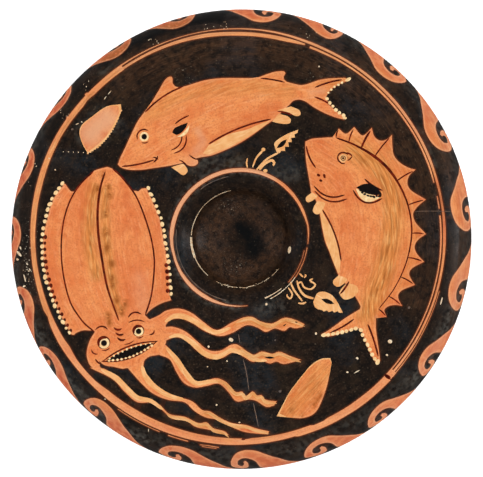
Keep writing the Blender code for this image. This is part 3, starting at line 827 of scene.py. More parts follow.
def paint_wear(draw, rng):
    """Rubbed, chipped and flaked places, what dirt and time left on the slip, and a sheen painted on it."""
    # the cup's edge, rubbed through on its left and dotted below
    for start, end, width in (
            (101, 150, 0.22), (150, 176, 0.32), (178, 203, 1.0), (203, 216, 0.4), (217, 229, 0.28),
            (241, 247, 0.2), (249, 255, 0.22), (256, 267, 0.2), (269, 271, 0.25), (279, 287, 0.4),
            (290, 297, 0.15), (299, 307, 0.2), (310, 322, 0.22)):
        ragged = wobble(start, 0.16, 30)
        draw.band(BARE, lambda t: CUP_EDGE - width / 2 + ragged(t), lambda t: CUP_EDGE + width / 2,
                  start, end, CUP_EDGE_POINTS)
    for _ in range(22):
        turn = rng.uniform(206, 332)
        middle = draw.round_the_axis([CUP_EDGE + rng.uniform(-0.6, 0.5)], [turn])[0]
        size = rng.uniform(0.14, 0.32)
        draw.shapes.append((BARE, oval(middle, size, rng.uniform(1, 2.6), turn + 90, points=6)))
    draw.seen(BARE, oval((25.2, -6), 0.75, 2.4, 80))
    # pits and flakes, the larger ones in their places
    for x, y, size in ((75.5, -51.9, 1.0), (74, -58.7, 0.5), (59.1, -60.3, 0.55), (54.2, -67.3, 0.45),
                       (38.5, -47.9, 0.55), (-4, -51, 0.95), (-15.2, -54.5, 0.5), (-6, -61.7, 0.4),
                       (-15.7, -64.5, 0.3), (13.7, -33.2, 0.6), (-11.2, -83.7, 0.45), (0.2, -92.5, 0.4),
                       (-66.9, -80.8, 0.3), (-78.6, 58.2, 0.3), (40, 86, 0.4), (-91.9, 34.2, 0.35),
                       (-95, 40, 0.3),
                       *((2.5 * k - 87.8, 43.3 - 0.1 * k, 0.22 + 0.05 * (k % 2)) for k in range(6))):
        draw.seen(BARE, oval((x, y), size, rng.uniform(1, 1.4), rng.uniform(0, 180), points=8))
    for x, y, size in ((85, -34.9, 0.6), (20.5, -76.9, 0.65), (18.1, -51.3, 0.4), (-83.4, 54.5, 0.5)):
        draw.seen(SCUFF, oval((x, y), size, 1.2, 40, points=8))
    for points, width, finish in (
            ([(57.5, -67.8), (60.4, -66.2)], 0.4, BARE), ([(-81.6, 56.9), (-80.1, 57.6)], 0.5, BARE),
            ([(-67.5, 69.4), (-66.4, 71)], 0.4, BARE), ([(-65.5, 72), (-63.9, 73.9)], 0.35, BARE),
            ([(-45.3, -97.2), (-45.2, -95.6)], 0.4, BARE),
            ([(88, 13.4), (97, 13.5), (106, 13.3)], 0.25, SCUFF), ([(-0.3, -48.2), (0.5, -52.9)], 0.4, SCUFF),
            ([(2.1, -60.9), (3.6, -67), (5, -76.6)], 0.45, SCUFF),
            ([(7.2, -82.8), (8.7, -89.8), (9.7, -94.6)], 0.45, SCUFF)):
        draw.seen(finish, stroke(points, width))
    # ragged flakes on the rim's left and a scratch on its right, by depth below the crest ring and angle
    for turn, depth, long, wide, lean in (
            (182.5, 7.2, 1.0, 0.5, 25), (184, 8.6, 2.4, 0.8, 50), (185.4, 10.4, 1.3, 0.6, 80),
            (190.6, 6.6, 2.2, 0.45, 5), (192.6, 8.2, 1.2, 0.5, 90), (187, 3.6, 0.7, 0.35, 60),
            (188.6, 2.4, 0.8, 0.3, 30), (188.9, 3.2, 0.5, 0.3, 110), (342.5, 3.0, 2.2, 0.35, 3)):
        middle = draw.on_rim([depth], [turn])[0]
        draw.shapes.append((BARE, oval(middle, wide, long / wide, turn + 90 + lean, points=9)))
    for _ in range(46):
        turn = rng.choice([rng.uniform(*arc) for arc in CHIPPED_ARCS])
        middle = draw.on_rim([rng.uniform(1.5, 8)], [turn])[0]
        size, stretch = rng.uniform(0.12, 0.24), rng.uniform(1, 2)
        draw.shapes.append((BARE, oval(middle, size, stretch, rng.uniform(0, 180), 6)))
    for x, y in ((-27, 81), (38, 78), (-6, 16), (-2, -14)):
        draw.zone("worn", [(x, y)], 9, 0.35)
    draw.zone("worn", [(-104, 6), (-106, -14), (-103, -30)], 6, 0.8)
    # paler grey patches in the slip of the floor, painted as a grey sheen
    for path, reach in (([(-22, 38), (0, 37)], 9), ([(19.7, 33), (27, 32)], 7), ([(10, -36), (20, -34)], 6),
                        ([(-68, 83), (-61, 89)], 5)):
        draw.zone("pale", path, reach, 0.5)
    # a painted sheen: the slip greyer towards the lip, most of all on the left; and the rings paler
    for radius, start, end, reach, strength in (
            (112, 196, 245, 7, 0.75), (113, 320, 350, 7, 0.7), (114, 350, 420, 6, 0.3),
            (114, 150, 190, 5, 0.45), (110, 245, 320, 7, 0.35), (104, 20, 125, 3, 0.4),
            (34.4, 60, 270, 3.5, 1.0)):
        draw.arc_zone("pale", radius, start, end, reach, strength)
    draw.arc_zone("golden", 103.4, 135, 205, 3, 0.6)
    draw.arc_zone("pale", 102.8, 205, 330, 3, 0.35)
    draw.arc_zone("ruddy", 103.6, -1, 16, 2.5, 1.0)
    draw.arc_zone("dusky", 103.6, 6, 14, 2, 0.5)
    # a black spot in the middle of the cup, and the rim darker at its upper left
    draw.zone("dusky", [(1, 5), (5.5, 0), (7, -6)], 9, 0.95)
    draw.zone("dusky", [(9, 1), (11, -6)], 7, 0.8)
    draw.arc_zone("dusky", 112, 95, 127, 10, 0.8)
    # the slip browner in the cup but for its middle; on the floor near the top and on the rim's right it is
    # browner and lighter, a painted sheen as well as brown slip
    draw.zone("golden", [(18, -2), (1, 15), (-16, -2), (1, -19), (18, -2)], 17, 0.75)
    draw.zone("golden", [(-60, 82), (-30, 96), (0, 99), (30, 96), (66, 78)], 22, 0.65)
    draw.zone("golden", [(70, 66), (90, 30), (93, 0), (88, -30)], 14, 0.5)
    draw.zone("golden", [(96, 62), (112, 10), (108, -40)], 9, 0.6)


# The sheet


def inside(ring, points):
    """Which points lie within a closed outline."""
    turns = np.zeros(len(points), int)
    x, y = points.T
    for (x0, y0), (x1, y1) in zip(ring, np.roll(ring, -1, axis=0)):
        if y0 == y1:
            continue
        crossed = (y >= y0) & (y < y1) if y1 > y0 else (y >= y1) & (y < y0)
        left = (x1 - x0) * (y - y0) - (x - x0) * (y1 - y0)
        turns += crossed & (left > 0) if y1 > y0 else 0
        turns -= crossed & (left < 0) if y1 < y0 else 0
    return turns != 0


def tree_of(points):
    """A search tree of flat points."""
    tree = KDTree(len(points))
    for k, (x, y) in enumerate(points):
        tree.insert((x, y, 0.0), k)
    tree.balance()
    return tree


def far_from(points, tree, least):
    """The rows of points that are at least that far from every point of the tree."""
    return np.array([p for p in points if tree.find((p[0], p[1], 0.0))[2] >= least]).reshape(-1, 2)


def thinned(points, cell):
    """Of points that crowd together, one for each cell of a square net."""
    cells = np.round(points / cell).astype(int)
    return points[np.unique(cells, axis=0, return_index=True)[1]]


def grid(limit, section):
    """Points all over the sheet, in rings about the middle, closer together at the scraped rings."""
    room = 0.6 * GRID_STEP
    fine = [section.along(r) for edge in (CREST_RING, CUP_RING) for r in np.linspace(*edge, 5)]
    coarse = np.arange(GRID_STEP, limit - room, GRID_STEP)
    coarse = [s for s in coarse if min(abs(s - f) for f in fine) > room]
    points = [np.zeros((1, 2))]
    for k, length in enumerate(sorted(coarse + fine)):
        count = max(6, round(2 * math.pi * length / GRID_STEP))
        turn = (np.arange(count) + 0.5 * (k % 2)) * 2 * math.pi / count
        points.append(polar(length, turn))
    return np.vstack(points)


def beside(shapes, offset):
    """Points a little inside and outside each outline."""
    rows = []
    for _, ring in shapes:
        ahead = np.roll(ring, -1, axis=0) - np.roll(ring, 1, axis=0)
        size = np.maximum(np.linalg.norm(ahead, axis=1), 1e-6)
        side = np.column_stack([-ahead[:, 1], ahead[:, 0]]) / size[:, None] * offset
        rows += [ring + side, ring - side]
    return np.vstack(rows)


def stain_points(zones):
    """Points in and round the small zones, which the grid is too coarse for."""
    rows = []
    for _, path, reach, _ in zones:
        if reach < SMALL_ZONE:
            rows += [path, *(path + 0.45 * reach * np.array((math.cos(k), math.sin(k))) for k in range(6))]
    return np.vstack(rows)


def points_beside(shapes, zones, drawn, limit):
    """Points beside the outlines and in the small stains, closer ones where a gap is too narrow for those."""
    large = [s for s in shapes if len(s[1]) > DAB_CORNERS]
    outlines = tree_of(drawn)
    clear, cell = 0.8 * EDGE_OFFSET, 0.7 * EDGE_OFFSET
    near = far_from(np.vstack([beside(large, EDGE_OFFSET), stain_points(zones)]), outlines, clear)
    near = thinned(near[np.linalg.norm(near, axis=1) < limit - POINT_MARGIN], cell)
    closer, clear, cell = 0.5 * EDGE_OFFSET, 0.4 * EDGE_OFFSET, 0.6 * EDGE_OFFSET
    narrow = far_from(beside(large, closer), outlines, clear)
    narrow = narrow[np.linalg.norm(narrow, axis=1) < limit - POINT_MARGIN]
    return np.vstack([near, thinned(far_from(narrow, tree_of(near), cell), cell)])


def triangulate(shapes, zones, section):
    """The sheet's upper part: its points, its triangles and each triangle's finish."""
    limit = section.length[section.lip]
    turn = np.arange(RIM_SEGMENTS) * 2 * math.pi / RIM_SEGMENTS
    rings = [polar(limit, turn)]
    for _, ring in shapes:
        length = np.linalg.norm(ring, axis=1)
        pull = np.minimum(1.0, (limit - SHAPE_MARGIN) / np.maximum(length, 1e-9))
        rings.append(ring * pull[:, None])
    edges = []
    first = 0
    for ring in rings:
        count = len(ring)
        edges += [(first + k, first + (k + 1) % count) for k in range(count)]
        first += count
    drawn = np.vstack(rings)
    near = points_beside(shapes, zones, drawn, limit)
    points = np.vstack([drawn, near])
    spread = far_from(grid(limit, section), tree_of(points), 0.55 * GRID_STEP)
    points = [Vector(p) for p in np.vstack([points, spread])]
    corners, _, faces, *_ = delaunay_2d_cdt(points, edges, [], 0, 1e-4, False)
    corners = np.array([(c.x, c.y) for c in corners])
    faces = np.array([f for f in faces if len(f) == 3])
    middles = corners[faces].mean(axis=1)
    finish = np.zeros(len(faces), int)
    for kind, ring in shapes:
        low, high = ring.min(0), ring.max(0)
        boxed = np.where(((middles >= low) & (middles <= high)).all(axis=1))[0]
        finish[boxed[inside(ring, middles[boxed])]] = kind
    return corners, faces, finish


def underside(section):
    """The rest of the sheet: rings of points from the lip round below to the axis, in plain bands."""
    start, end = section.length[section.lip], section.length[-1]
    lower = slice(section.lip, None)
    along, radius, height = section.length[lower], section.radius[lower], section.height[lower]
    resting = along[height < 0.01]
    high = height >= FOOT_JOINT_HEIGHT
    joint = along[high][np.argmin(np.abs(radius[high] - FOOT_JOINT_RADIUS))]
    # where each band begins, from the lip inwards, and its finish: bare above the foot's joint and where
    # the foot stands, then a bare floor within it with a thin ring and a dot of slip
    bands = [(joint - 6.0, CLAY), (joint + 1.0, SLIP),
             (resting.min() - 0.5, CLAY), (resting.max() + 1.0, SLIP),
             (resting.max() + 16.0, CLAY), (end - 22.0, SLIP), (end - 19.5, CLAY), (end - 5.0, SLIP),
             (end, SLIP)]
    edges = [b[0] for b in bands]
    plain = np.arange(start, end, UNDERSIDE_STEP)[1:]
    lengths = sorted([start, *(s for s in plain if min(abs(s - e) for e in edges) > UNDERSIDE_ROOM), *edges])
    turn = np.arange(RIM_SEGMENTS) * 2 * math.pi / RIM_SEGMENTS
    rows = []
    for k, length in enumerate(lengths):
        hand = wobble(50 + k, 0.3)
        shake = [hand(math.degrees(t)) for t in turn] if length in edges[:-1] else 0.0
        rows.append(polar(np.full(RIM_SEGMENTS, length) + shake, turn))
    faces, finish = [], []
    for k in range(len(lengths) - 1):
        kind = SLIP
        for edge, after in bands:
            if lengths[k] >= edge - 1e-6:
                kind = after
        for j in range(RIM_SEGMENTS):
            onward = (j + 1) % RIM_SEGMENTS
            a, b = k * RIM_SEGMENTS, (k + 1) * RIM_SEGMENTS
            faces.append((a + j, b + j, b + onward, a + onward))
            finish.append(kind)
    return np.vstack(rows), faces, finish


def edge_distance(points, faces, finish):
    """For each point its distance in mm to where slip meets bare clay."""
    meeting = {}
    for face, kind in zip(faces, finish):
        for v in face:
            meeting.setdefault(v, set()).add(kind)
    border = [v for v, kinds in meeting.items() if {SLIP, CLAY} <= kinds]
    tree = tree_of(points[border])
    return np.array([min(FURTHEST, tree.find((x, y, 0.0))[2]) for x, y in points])


def beside_segment(points, a, b):
    """Where along a segment each point's nearest place is, from 0 to 1, and the way from there."""
    ahead = b - a
    share = np.clip(((points - a) @ ahead) / max(ahead @ ahead, 1e-9), 0, 1)
    return share, points - a - share[:, None] * ahead


def zone_strength(points, zones, tint):
    """How strongly each point lies in the zones of that tint."""
    strength = np.zeros(len(points))
    for kind, path, reach, most in zones:
        if kind != tint:
            continue
        nearest = np.full(len(points), 1e9)
        for a, b in zip(path, path[1:] if len(path) > 1 else path):
            nearest = np.minimum(nearest, np.linalg.norm(beside_segment(points, a, b)[1], axis=1))
        u = np.clip(1 - nearest / reach, 0, 1)
        strength = np.maximum(strength, most * u * u * (3 - 2 * u))
    return strength


def brush_grain(points, strokes, rim_start):
    """Brush coordinates in mm: slow along the nearest figure's path, quick across it; round on the rim."""
    nearest = np.full(len(points), 1e9)
    grain = np.zeros((len(points), 3))
    for k, path in enumerate(strokes):
        walked = 0.0
        for a, b in zip(path, path[1:]):
            share, off = beside_segment(points, a, b)
            far = np.linalg.norm(off, axis=1)
            side = np.copysign(far, off @ (a[1] - b[1], b[0] - a[0]))
            along = walked + share * np.linalg.norm(b - a)
            closer = far < nearest
            rows = np.column_stack([along * BRUSH_PULL, side, np.full(len(points), STROKES_APART * k)])
            grain[closer] = rows[closer]
            nearest = np.minimum(nearest, far)
            walked += np.linalg.norm(b - a)
    length = np.linalg.norm(points, axis=1)
    outside = length > rim_start
    heading = points[outside] / length[outside, None]
    grain[outside] = np.column_stack([heading * WHEEL_TURN, length[outside]])
    return grain


def sheet_mesh(draw):
    """The whole sheet as one flat mesh, with its finishes, map, soft zones and brush coordinates."""
    section = draw.section
    upper, triangles, finish = triangulate(draw.shapes, draw.zones, section)
    lower, quads, lower_finish = underside(section)
    places = np.vstack([upper, lower])
    mesh = bpy.data.meshes.new("sheet")
    faces = [tuple(f) for f in triangles] + [tuple(v + len(upper) for v in q) for q in quads]
    mesh.from_pydata([(x * MM, y * MM, 0.0) for x, y in places], [], faces)
    kinds = mesh.attributes.new("finish", "INT", "FACE")
    kinds.data.foreach_set("value", [int(k) for k in finish] + lower_finish)
    values = {"edge": np.concatenate([edge_distance(upper, triangles, finish),
                                      edge_distance(lower, quads, lower_finish)])}
    for tint in TINTS:
        values[tint] = np.concatenate([zone_strength(upper, draw.zones, tint), np.zeros(len(lower))])
    # the clay is redder towards the lip, most of all on the left, and paler along the waves' edges
    length = np.linalg.norm(places, axis=1)
    down = np.clip((length - draw.crest - REDDER_FROM) / REDDER_OVER, 0, 1)
    side = 0.7 - 0.3 * places[:, 0] / np.maximum(length, 1.0)
    inner = np.clip(values["edge"] / WAVE_EDGE, 0, 1)
    values["ruddy"] = np.maximum(values["ruddy"], down * down * (3 - 2 * down) * side * (0.3 + 0.7 * inner))
    values["pale"] = np.maximum(values["pale"], 0.7 * down * (1 - inner))
    for name, value in values.items():
        mesh.attributes.new(name, "FLOAT", "POINT").data.foreach_set("value", value.astype(np.float32))
    strokes = brush_grain(places, draw.strokes, draw.crest - WHEEL_STROKES) * MM
    grain = mesh.attributes.new("grain", "FLOAT_VECTOR", "POINT")
    grain.data.foreach_set("vector", strokes.astype(np.float32).ravel())
    add_map(mesh, places, len(triangles), section)
    return mesh


# The two discs of the map: the middle's place along both sides of the map, and the radius
UPPER_DISC = (0.425, 0.42)
LOWER_DISC = (0.84, 0.155)


def add_map(mesh, places, upper_faces, section):
    """A flat map of the surface: the upper face as one disc, the underside as a smaller one in its corner."""
    limit, end = section.length[section.lip], section.length[-1]
    corners = np.empty(len(mesh.loops), np.int32)
    mesh.loops.foreach_get("vertex_index", corners)
    is_upper = np.arange(len(corners)) < upper_faces * 3
    place = places[corners]
    length = np.linalg.norm(place, axis=1)
    heading = place / np.maximum(length, 1e-9)[:, None]
    upper_reach = UPPER_DISC[1] * length / limit
    lower_reach = LOWER_DISC[1] * (end - length) / (end - limit)
    reach = np.where(is_upper, upper_reach, lower_reach)
    middle = np.where(is_upper, UPPER_DISC[0], LOWER_DISC[0])
    uv = middle[:, None] + reach[:, None] * heading
    layer = mesh.uv_layers.new(name="OFBake")
    layer.data.foreach_set("uv", uv.astype(np.float32).ravel())


# Turning the sheet on the wheel


def section_curve(section):
    """The half section as a curve in the XZ plane."""
    curve = bpy.data.curves.new("half_section", "CURVE")
    curve.dimensions = "3D"
    spline = curve.splines.new("POLY")
    spline.points.add(len(section.radius) - 1)
    for point, r, z in zip(spline.points, section.radius, section.height):
        point.co = (r * MM, 0.0, z * MM, 1.0)
    piece = bpy.data.objects.new("half_section", curve)
    bpy.context.scene.collection.objects.link(piece)
    return piece


def turning_tree(materials):
    """Geometry Nodes that lay a flat sheet round the wheel axis along a half section."""
    tree = bpy.data.node_groups.new("turned plate", "GeometryNodeTree")
    sockets = {}
    for name, kind in (("Sheet", "Geometry"), ("Section", "Object"), ("Ridge Height", "Float"),
                       ("Ridge Spacing", "Float"), ("Oval", "Float"), ("Brush Turn", "Float")):
        sockets[name] = tree.interface.new_socket(name, in_out="INPUT", socket_type="NodeSocket" + kind)
    tree.interface.new_socket("Plate", in_out="OUTPUT", socket_type="NodeSocketGeometry")
    given = put(tree, "NodeGroupInput")
    place = put(tree, "GeometryNodeInputPosition")[0]
    length = put(tree, "ShaderNodeVectorMath", {0: place}, operation="LENGTH")["Value"]
    heading = put(tree, "ShaderNodeVectorMath", {0: place}, operation="NORMALIZE")[0]
    curve = put(tree, "GeometryNodeObjectInfo", {"Object": given["Section"]})["Geometry"]
    sample = put(tree, "GeometryNodeSampleCurve", {"Curves": curve, "Length": length}, mode="LENGTH")
    at = put(tree, "ShaderNodeSeparateXYZ", {0: sample["Position"]})
    way = put(tree, "ShaderNodeSeparateXYZ", {0: sample["Tangent"]})

    def carried(outwards, upwards):
        """A vector of the section's plane, carried round the axis to where the point lies."""
        flat = put(tree, "ShaderNodeVectorMath", {0: heading, "Scale": outwards}, operation="SCALE")[0]
        upright = put(tree, "ShaderNodeCombineXYZ", {"Z": upwards})[0]
        return put(tree, "ShaderNodeVectorMath", {0: flat, 1: upright}, operation="ADD")[0]

    def moved(start, direction, distance):
        """A point or vector, moved that far along a direction."""
        step = put(tree, "ShaderNodeVectorMath", {0: direction, "Scale": distance}, operation="SCALE")[0]
        return put(tree, "ShaderNodeVectorMath", {0: start, 1: step}, operation="ADD")[0]

    inwards = put(tree, "ShaderNodeMath", {0: way["Z"], 1: -1.0}, operation="MULTIPLY")[0]
    normal = carried(inwards, way["X"])
    # the low ridges that the potter's fingers left: their phase, height and slope
    turns = put(tree, "ShaderNodeMath", {0: length, 1: given["Ridge Spacing"]}, operation="DIVIDE")[0]
    phase = put(tree, "ShaderNodeMath", {0: turns, 1: 2 * math.pi}, operation="MULTIPLY")[0]
    sine = put(tree, "ShaderNodeMath", {0: phase}, operation="SINE")[0]
    lift = put(tree, "ShaderNodeMath", {0: sine, 1: given["Ridge Height"]}, operation="MULTIPLY")[0]
    ratio = put(tree, "ShaderNodeMath",
                {0: given["Ridge Height"], 1: given["Ridge Spacing"]}, operation="DIVIDE")[0]
    steepest = put(tree, "ShaderNodeMath", {0: ratio, 1: -2 * math.pi}, operation="MULTIPLY")[0]
    cosine = put(tree, "ShaderNodeMath", {0: phase}, operation="COSINE")[0]
    slope = put(tree, "ShaderNodeMath", {0: cosine, 1: steepest}, operation="MULTIPLY")[0]
    ridged = moved(carried(at["X"], at["Z"]), normal, lift)
    leaning = moved(normal, carried(way["X"], way["Z"]), slope)
    # fired a little out of round
    narrow = put(tree, "ShaderNodeMath", {0: 1.0, 1: given["Oval"]}, operation="SUBTRACT")[0]
    squeeze = put(tree, "ShaderNodeCombineXYZ", {"X": 1.0, "Y": narrow, "Z": 1.0})[0]
    placed = put(tree, "ShaderNodeVectorMath", {0: ridged, 1: squeeze}, operation="MULTIPLY")[0]
    # brush coordinates: slow round the wheel, quick from the middle outwards
    brush = carried(given["Brush Turn"], length)
    with_normal = put(tree, "GeometryNodeStoreNamedAttribute", {
        "Geometry": given["Sheet"], "Name": "turned_normal", "Value": leaning}, data_type="FLOAT_VECTOR")
    with_brush = put(tree, "GeometryNodeStoreNamedAttribute", {
        "Geometry": with_normal[0], "Name": "wheel", "Value": brush}, data_type="FLOAT_VECTOR")
    turned = put(tree, "GeometryNodeSetPosition", {"Geometry": with_brush[0], "Position": placed})
    closed = put(tree, "GeometryNodeMergeByDistance", {"Geometry": turned[0], "Distance": WELD})
    real = put(tree, "GeometryNodeRealizeInstances", {"Geometry": closed[0]})[0]
    kinds = put(tree, "GeometryNodeInputNamedAttribute", {"Name": "finish"}, data_type="INT")["Attribute"]
    for kind, material in enumerate(materials):
        chosen = put(tree, "FunctionNodeCompare", {2: kinds, 3: kind}, data_type="INT", operation="EQUAL")[0]
        real = put(tree, "GeometryNodeSetMaterial",
                   {"Geometry": real, "Selection": chosen, "Material": material})[0]
    put(tree, "NodeGroupOutput", {0: real})
    return tree, {name: socket.identifier for name, socket in sockets.items()}


def turned_plate(draw, materials):
    """The painted plate as one plain mesh."""
    sheet = bpy.data.objects.new("sheet", sheet_mesh(draw))
    bpy.context.scene.collection.objects.link(sheet)
    curve = section_curve(draw.section)
    tree, names = turning_tree(materials)
    wheel = sheet.modifiers.new("wheel", "NODES")
    wheel.node_group = tree
    for name, value in (("Section", curve), ("Ridge Height", RIDGE_HEIGHT * MM),
                        ("Ridge Spacing", RIDGE_SPACING * MM), ("Oval", OUT_OF_ROUND),
                        ("Brush Turn", WHEEL_TURN * MM)):
        wheel[names[name]] = value
    graph = bpy.context.evaluated_depsgraph_get()
    mesh = bpy.data.meshes.new_from_object(
        sheet.evaluated_get(graph), preserve_all_data_layers=True, depsgraph=graph)
    sheet.modifiers.remove(wheel)
    for spare in (sheet, curve):
        bpy.data.objects.remove(spare, do_unlink=True)
    mesh.name = "painted_plate"
    normals = np.empty(len(mesh.vertices) * 3, np.float32)
    mesh.attributes["turned_normal"].data.foreach_get("vector", normals)
    normals = normals.reshape(-1, 3)
    mesh.shade_smooth()
    mesh.normals_split_custom_set_from_vertices(normals / np.linalg.norm(normals, axis=1)[:, None])
    mesh.attributes.remove(mesh.attributes["turned_normal"])
    plate = bpy.data.objects.new("painted_plate", mesh)
    bpy.context.scene.collection.objects.link(plate)
    return plate


# Materials. The grain of the real clay and slip is finer than the half millimetre that a pixel of the
# photograph shows, so the finest patterns here, of 0.5 to 0.9 mm, are coarser than the real ones.


def new_material(name):
    """A material, its tree and shader, and the places and brush strokes that patterns follow."""
    material = bpy.data.materials.new(name)
    material.use_nodes = True
    tree = material.node_tree
    place = put(tree, "ShaderNodeTexCoord")["Object"]
    grain = put(tree, "ShaderNodeAttribute", attribute_name="grain")["Vector"]
    return material, tree, tree.nodes["Principled BSDF"], place, grain


def mottled(tree, vector, size, colour, other, low, high, most=1.0, detail=3.0, within=None):
    """A colour with lumps of another, about that size in mm, maybe only within the zones of a tint."""
    noise = put(tree, "ShaderNodeTexNoise", {"Vector": vector, "Scale": 1 / (size * MM), "Detail": detail})[0]
    share = put(tree, "ShaderNodeMapRange", {0: noise, 1: low, 2: high, 3: 0.0, 4: most})[0]
    if within:
        zone = put(tree, "ShaderNodeAttribute", attribute_name=within)["Fac"]
        share = put(tree, "ShaderNodeMath", {0: share, 1: zone}, operation="MULTIPLY")[0]
    a, b = (linear(c) if isinstance(c, str) else c for c in (colour, other))
    return put(tree, "ShaderNodeMix", {0: share, 6: a, 7: b}, data_type="RGBA")[2]


def zoned(tree, name, low, high, colour, other, from_share, to_share):
    """A colour that takes on another as an attribute of the surface goes from low to high."""
    value = put(tree, "ShaderNodeAttribute", attribute_name=name)["Fac"]
    share = put(tree, "ShaderNodeMapRange", {0: value, 1: low, 2: high, 3: from_share, 4: to_share})[0]
    a, b = (linear(c) if isinstance(c, str) else c for c in (colour, other))
    return put(tree, "ShaderNodeMix", {0: share, 6: a, 7: b}, data_type="RGBA")[2]


def surfaced(tree, shader, colour, gloss, fine):
    """Gives the shader its colour, an uneven gloss and a fine unevenness.

    gloss is the vector, the lumps' size in mm, the smoothest and the roughest value;
    fine is the vector, the lumps' size and the strength.
    """
    vector, size, smoothest, roughest = gloss
    noise = put(tree, "ShaderNodeTexNoise", {"Vector": vector, "Scale": 1 / (size * MM), "Detail": 3.0})[0]
    rough = put(tree, "ShaderNodeMapRange", {0: noise, 1: 0.3, 2: 0.7, 3: smoothest, 4: roughest})[0]
    vector, size, strength = fine
    noise = put(tree, "ShaderNodeTexNoise", {"Vector": vector, "Scale": 1 / (size * MM), "Detail": 3.0})[0]
    bump = put(tree, "ShaderNodeBump", {
        "Strength": strength, "Distance": BUMP_DEPTH * MM, "Height": noise})[0]
    for socket, value in (("Base Color", colour), ("Roughness", rough), ("Normal", bump)):
        tree.links.new(value, shader.inputs[socket])


def black_slip():
    """Iron-rich slip, brushed on, burnished and fired black: a deep near-black, brown where it is thin."""
    material, tree, shader, place, _ = new_material("burnished_black_slip")
    wheel = put(tree, "ShaderNodeAttribute", attribute_name="wheel")["Vector"]
    # near black, browner or bluer in places as the kiln left it, with streaks of the brush
    colour = mottled(tree, place, 24, "#0F0906", "#1C110A", 0.42, 0.62)
    colour = mottled(tree, place, 9, colour, "#2B2115", 0.5, 0.72, 0.5)
    colour = mottled(tree, place, 30, colour, "#141B20", 0.5, 0.62, 0.8)
    colour = mottled(tree, wheel, 1.3, colour, "#37261A", 0.45, 0.85, 0.4)
    # where it is thin, brown shows in streaks round the wheel between blacker ones; on the upper floor and
    # the rim's right this brown also stands in for a painted sheen
    colour = mottled(tree, wheel, 2.2, colour, "#4A2F1C", 0.2, 0.8, within="golden")
    colour = mottled(tree, place, 3.5, colour, "#050404", 0.46, 0.62, 0.75, 6.0)
    colour = mottled(tree, wheel, 0.5, colour, "#6B4A34", 0.52, 0.75, 0.6, within="golden")
    colour = mottled(tree, wheel, 0.9, colour, "#0B0706", 0.54, 0.7, 0.7, within="golden")
    # a painted grey sheen where the pale zones lie, and a fine brown grain all over
    colour = mottled(tree, place, 2.5, colour, "#504C45", 0.4, 0.64, within="pale")
    colour = mottled(tree, place, 0.8, colour, "#3E2E22", 0.5, 0.8, 0.6)
    # blacker where the dusky zones reach
    colour = mottled(tree, place, 3, colour, "#030405", 0.3, 0.5, within="dusky")
    colour = zoned(tree, "dusky", 0.45, 0.9, colour, "#030405", 0.0, 0.9)
    # a brown fringe where it thins out towards the clay, then specks of dust and of bare clay
    colour = zoned(tree, "edge", 0.15, 0.85, colour, "#58260D", 0.85, 0.0)
    colour = mottled(tree, place, 0.8, colour, "#85765F", 0.7, 0.8, 0.25, 1.0)
    colour = mottled(tree, place, 0.9, colour, "#C9BBA2", 0.66, 0.72, 0.9, 1.0, within="worn")
    surfaced(tree, shader, colour, (place, 7, 0.26, 0.44), (wheel, 0.8, 0.12))
    return material


def reserved_clay():
    """Fired orange clay left bare, rubbed with ochre: warm, mottled, streaked by the brush, nearly matt."""
    material, tree, shader, place, grain = new_material("reserved_orange_clay")
    # orange, uneven from the kiln, with dark and light streaks of the brush
    colour = mottled(tree, place, 17, "#D07843", "#DA8A50", 0.38, 0.62)
    colour = mottled(tree, place, 5, colour, "#C8622F", 0.46, 0.72, 0.6)
    colour = mottled(tree, grain, 1.7, colour, "#B2572C", 0.48, 0.75, 0.5)
    colour = mottled(tree, grain, 0.9, colour, "#E0A070", 0.52, 0.8, 0.7)
    colour = mottled(tree, place, 0.9, colour, "#A4522A", 0.48, 0.75, 0.6)
    # a golden wash with streaks of its own
    colour = zoned(tree, "golden", 0.0, 1.0, colour, "#C47B38", 0.0, 0.7)
    colour = mottled(tree, grain, 1.3, colour, "#7E4310", 0.42, 0.7, 0.85, within="golden")
    colour = mottled(tree, grain, 0.8, colour, "#E6B877", 0.5, 0.75, 0.6, within="golden")
    # rubbed paler, and near the lip paler still where a sheen is painted; fired redder, stained brown
    colour = zoned(tree, "pale", 0.0, 1.0, colour, "#CC9672", 0.0, 0.8)
    colour = zoned(tree, "ruddy", 0.0, 1.0, colour, "#C65F2E", 0.0, 0.75)
    colour = mottled(tree, place, 4, colour, "#AC431C", 0.4, 0.62, 0.9, within="ruddy")
    colour = mottled(tree, place, 1.4, colour, "#8A4812", 0.3, 0.5, within="dusky")
    # lighter along the slip, a thin brown seam right beside it, and grit
    colour = zoned(tree, "edge", 0.5, 1.3, colour, "#DDA074", 0.25, 0.0)
    colour = zoned(tree, "edge", 0.0, 0.3, colour, "#8A4520", 0.25, 0.0)
    colour = mottled(tree, place, 0.7, colour, "#8C4A26", 0.7, 0.8, 0.5, 1.0)
    surfaced(tree, shader, colour, (place, 4, 0.5, 0.66), (grain, 0.7, 0.15))
    return material


def added_cream():
    """Pale clay wash over the reserved clay: golden cream, thin enough to let the orange through."""
    material, tree, shader, place, grain = new_material("added_cream_clay")
    colour = mottled(tree, place, 5, "#DCA66D", "#D19055", 0.35, 0.65)
    colour = mottled(tree, grain, 1.0, colour, "#E6BE8E", 0.5, 0.75, 0.7)
    colour = mottled(tree, grain, 1.5, colour, "#A96A30", 0.3, 0.7, within="golden")
    colour = zoned(tree, "edge", 0.0, 0.3, colour, "#8A4F25", 0.4, 0.0)
    surfaced(tree, shader, colour, (place, 3, 0.55, 0.7), (place, 0.6, 0.15))
    return material


def thick_cream():
    """Pale clay dabbed on thickly with the tip of a brush: chalky and a little proud."""
    material, tree, shader, place, _ = new_material("thick_cream_dabs")
    colour = mottled(tree, place, 1.5, "#E4C998", "#D9B07A", 0.35, 0.65)
    colour = zoned(tree, "edge", 0.0, 0.35, colour, "#9A6336", 0.45, 0.0)
    surfaced(tree, shader, colour, (place, 3, 0.6, 0.75), (place, 0.6, 0.25))
    return material


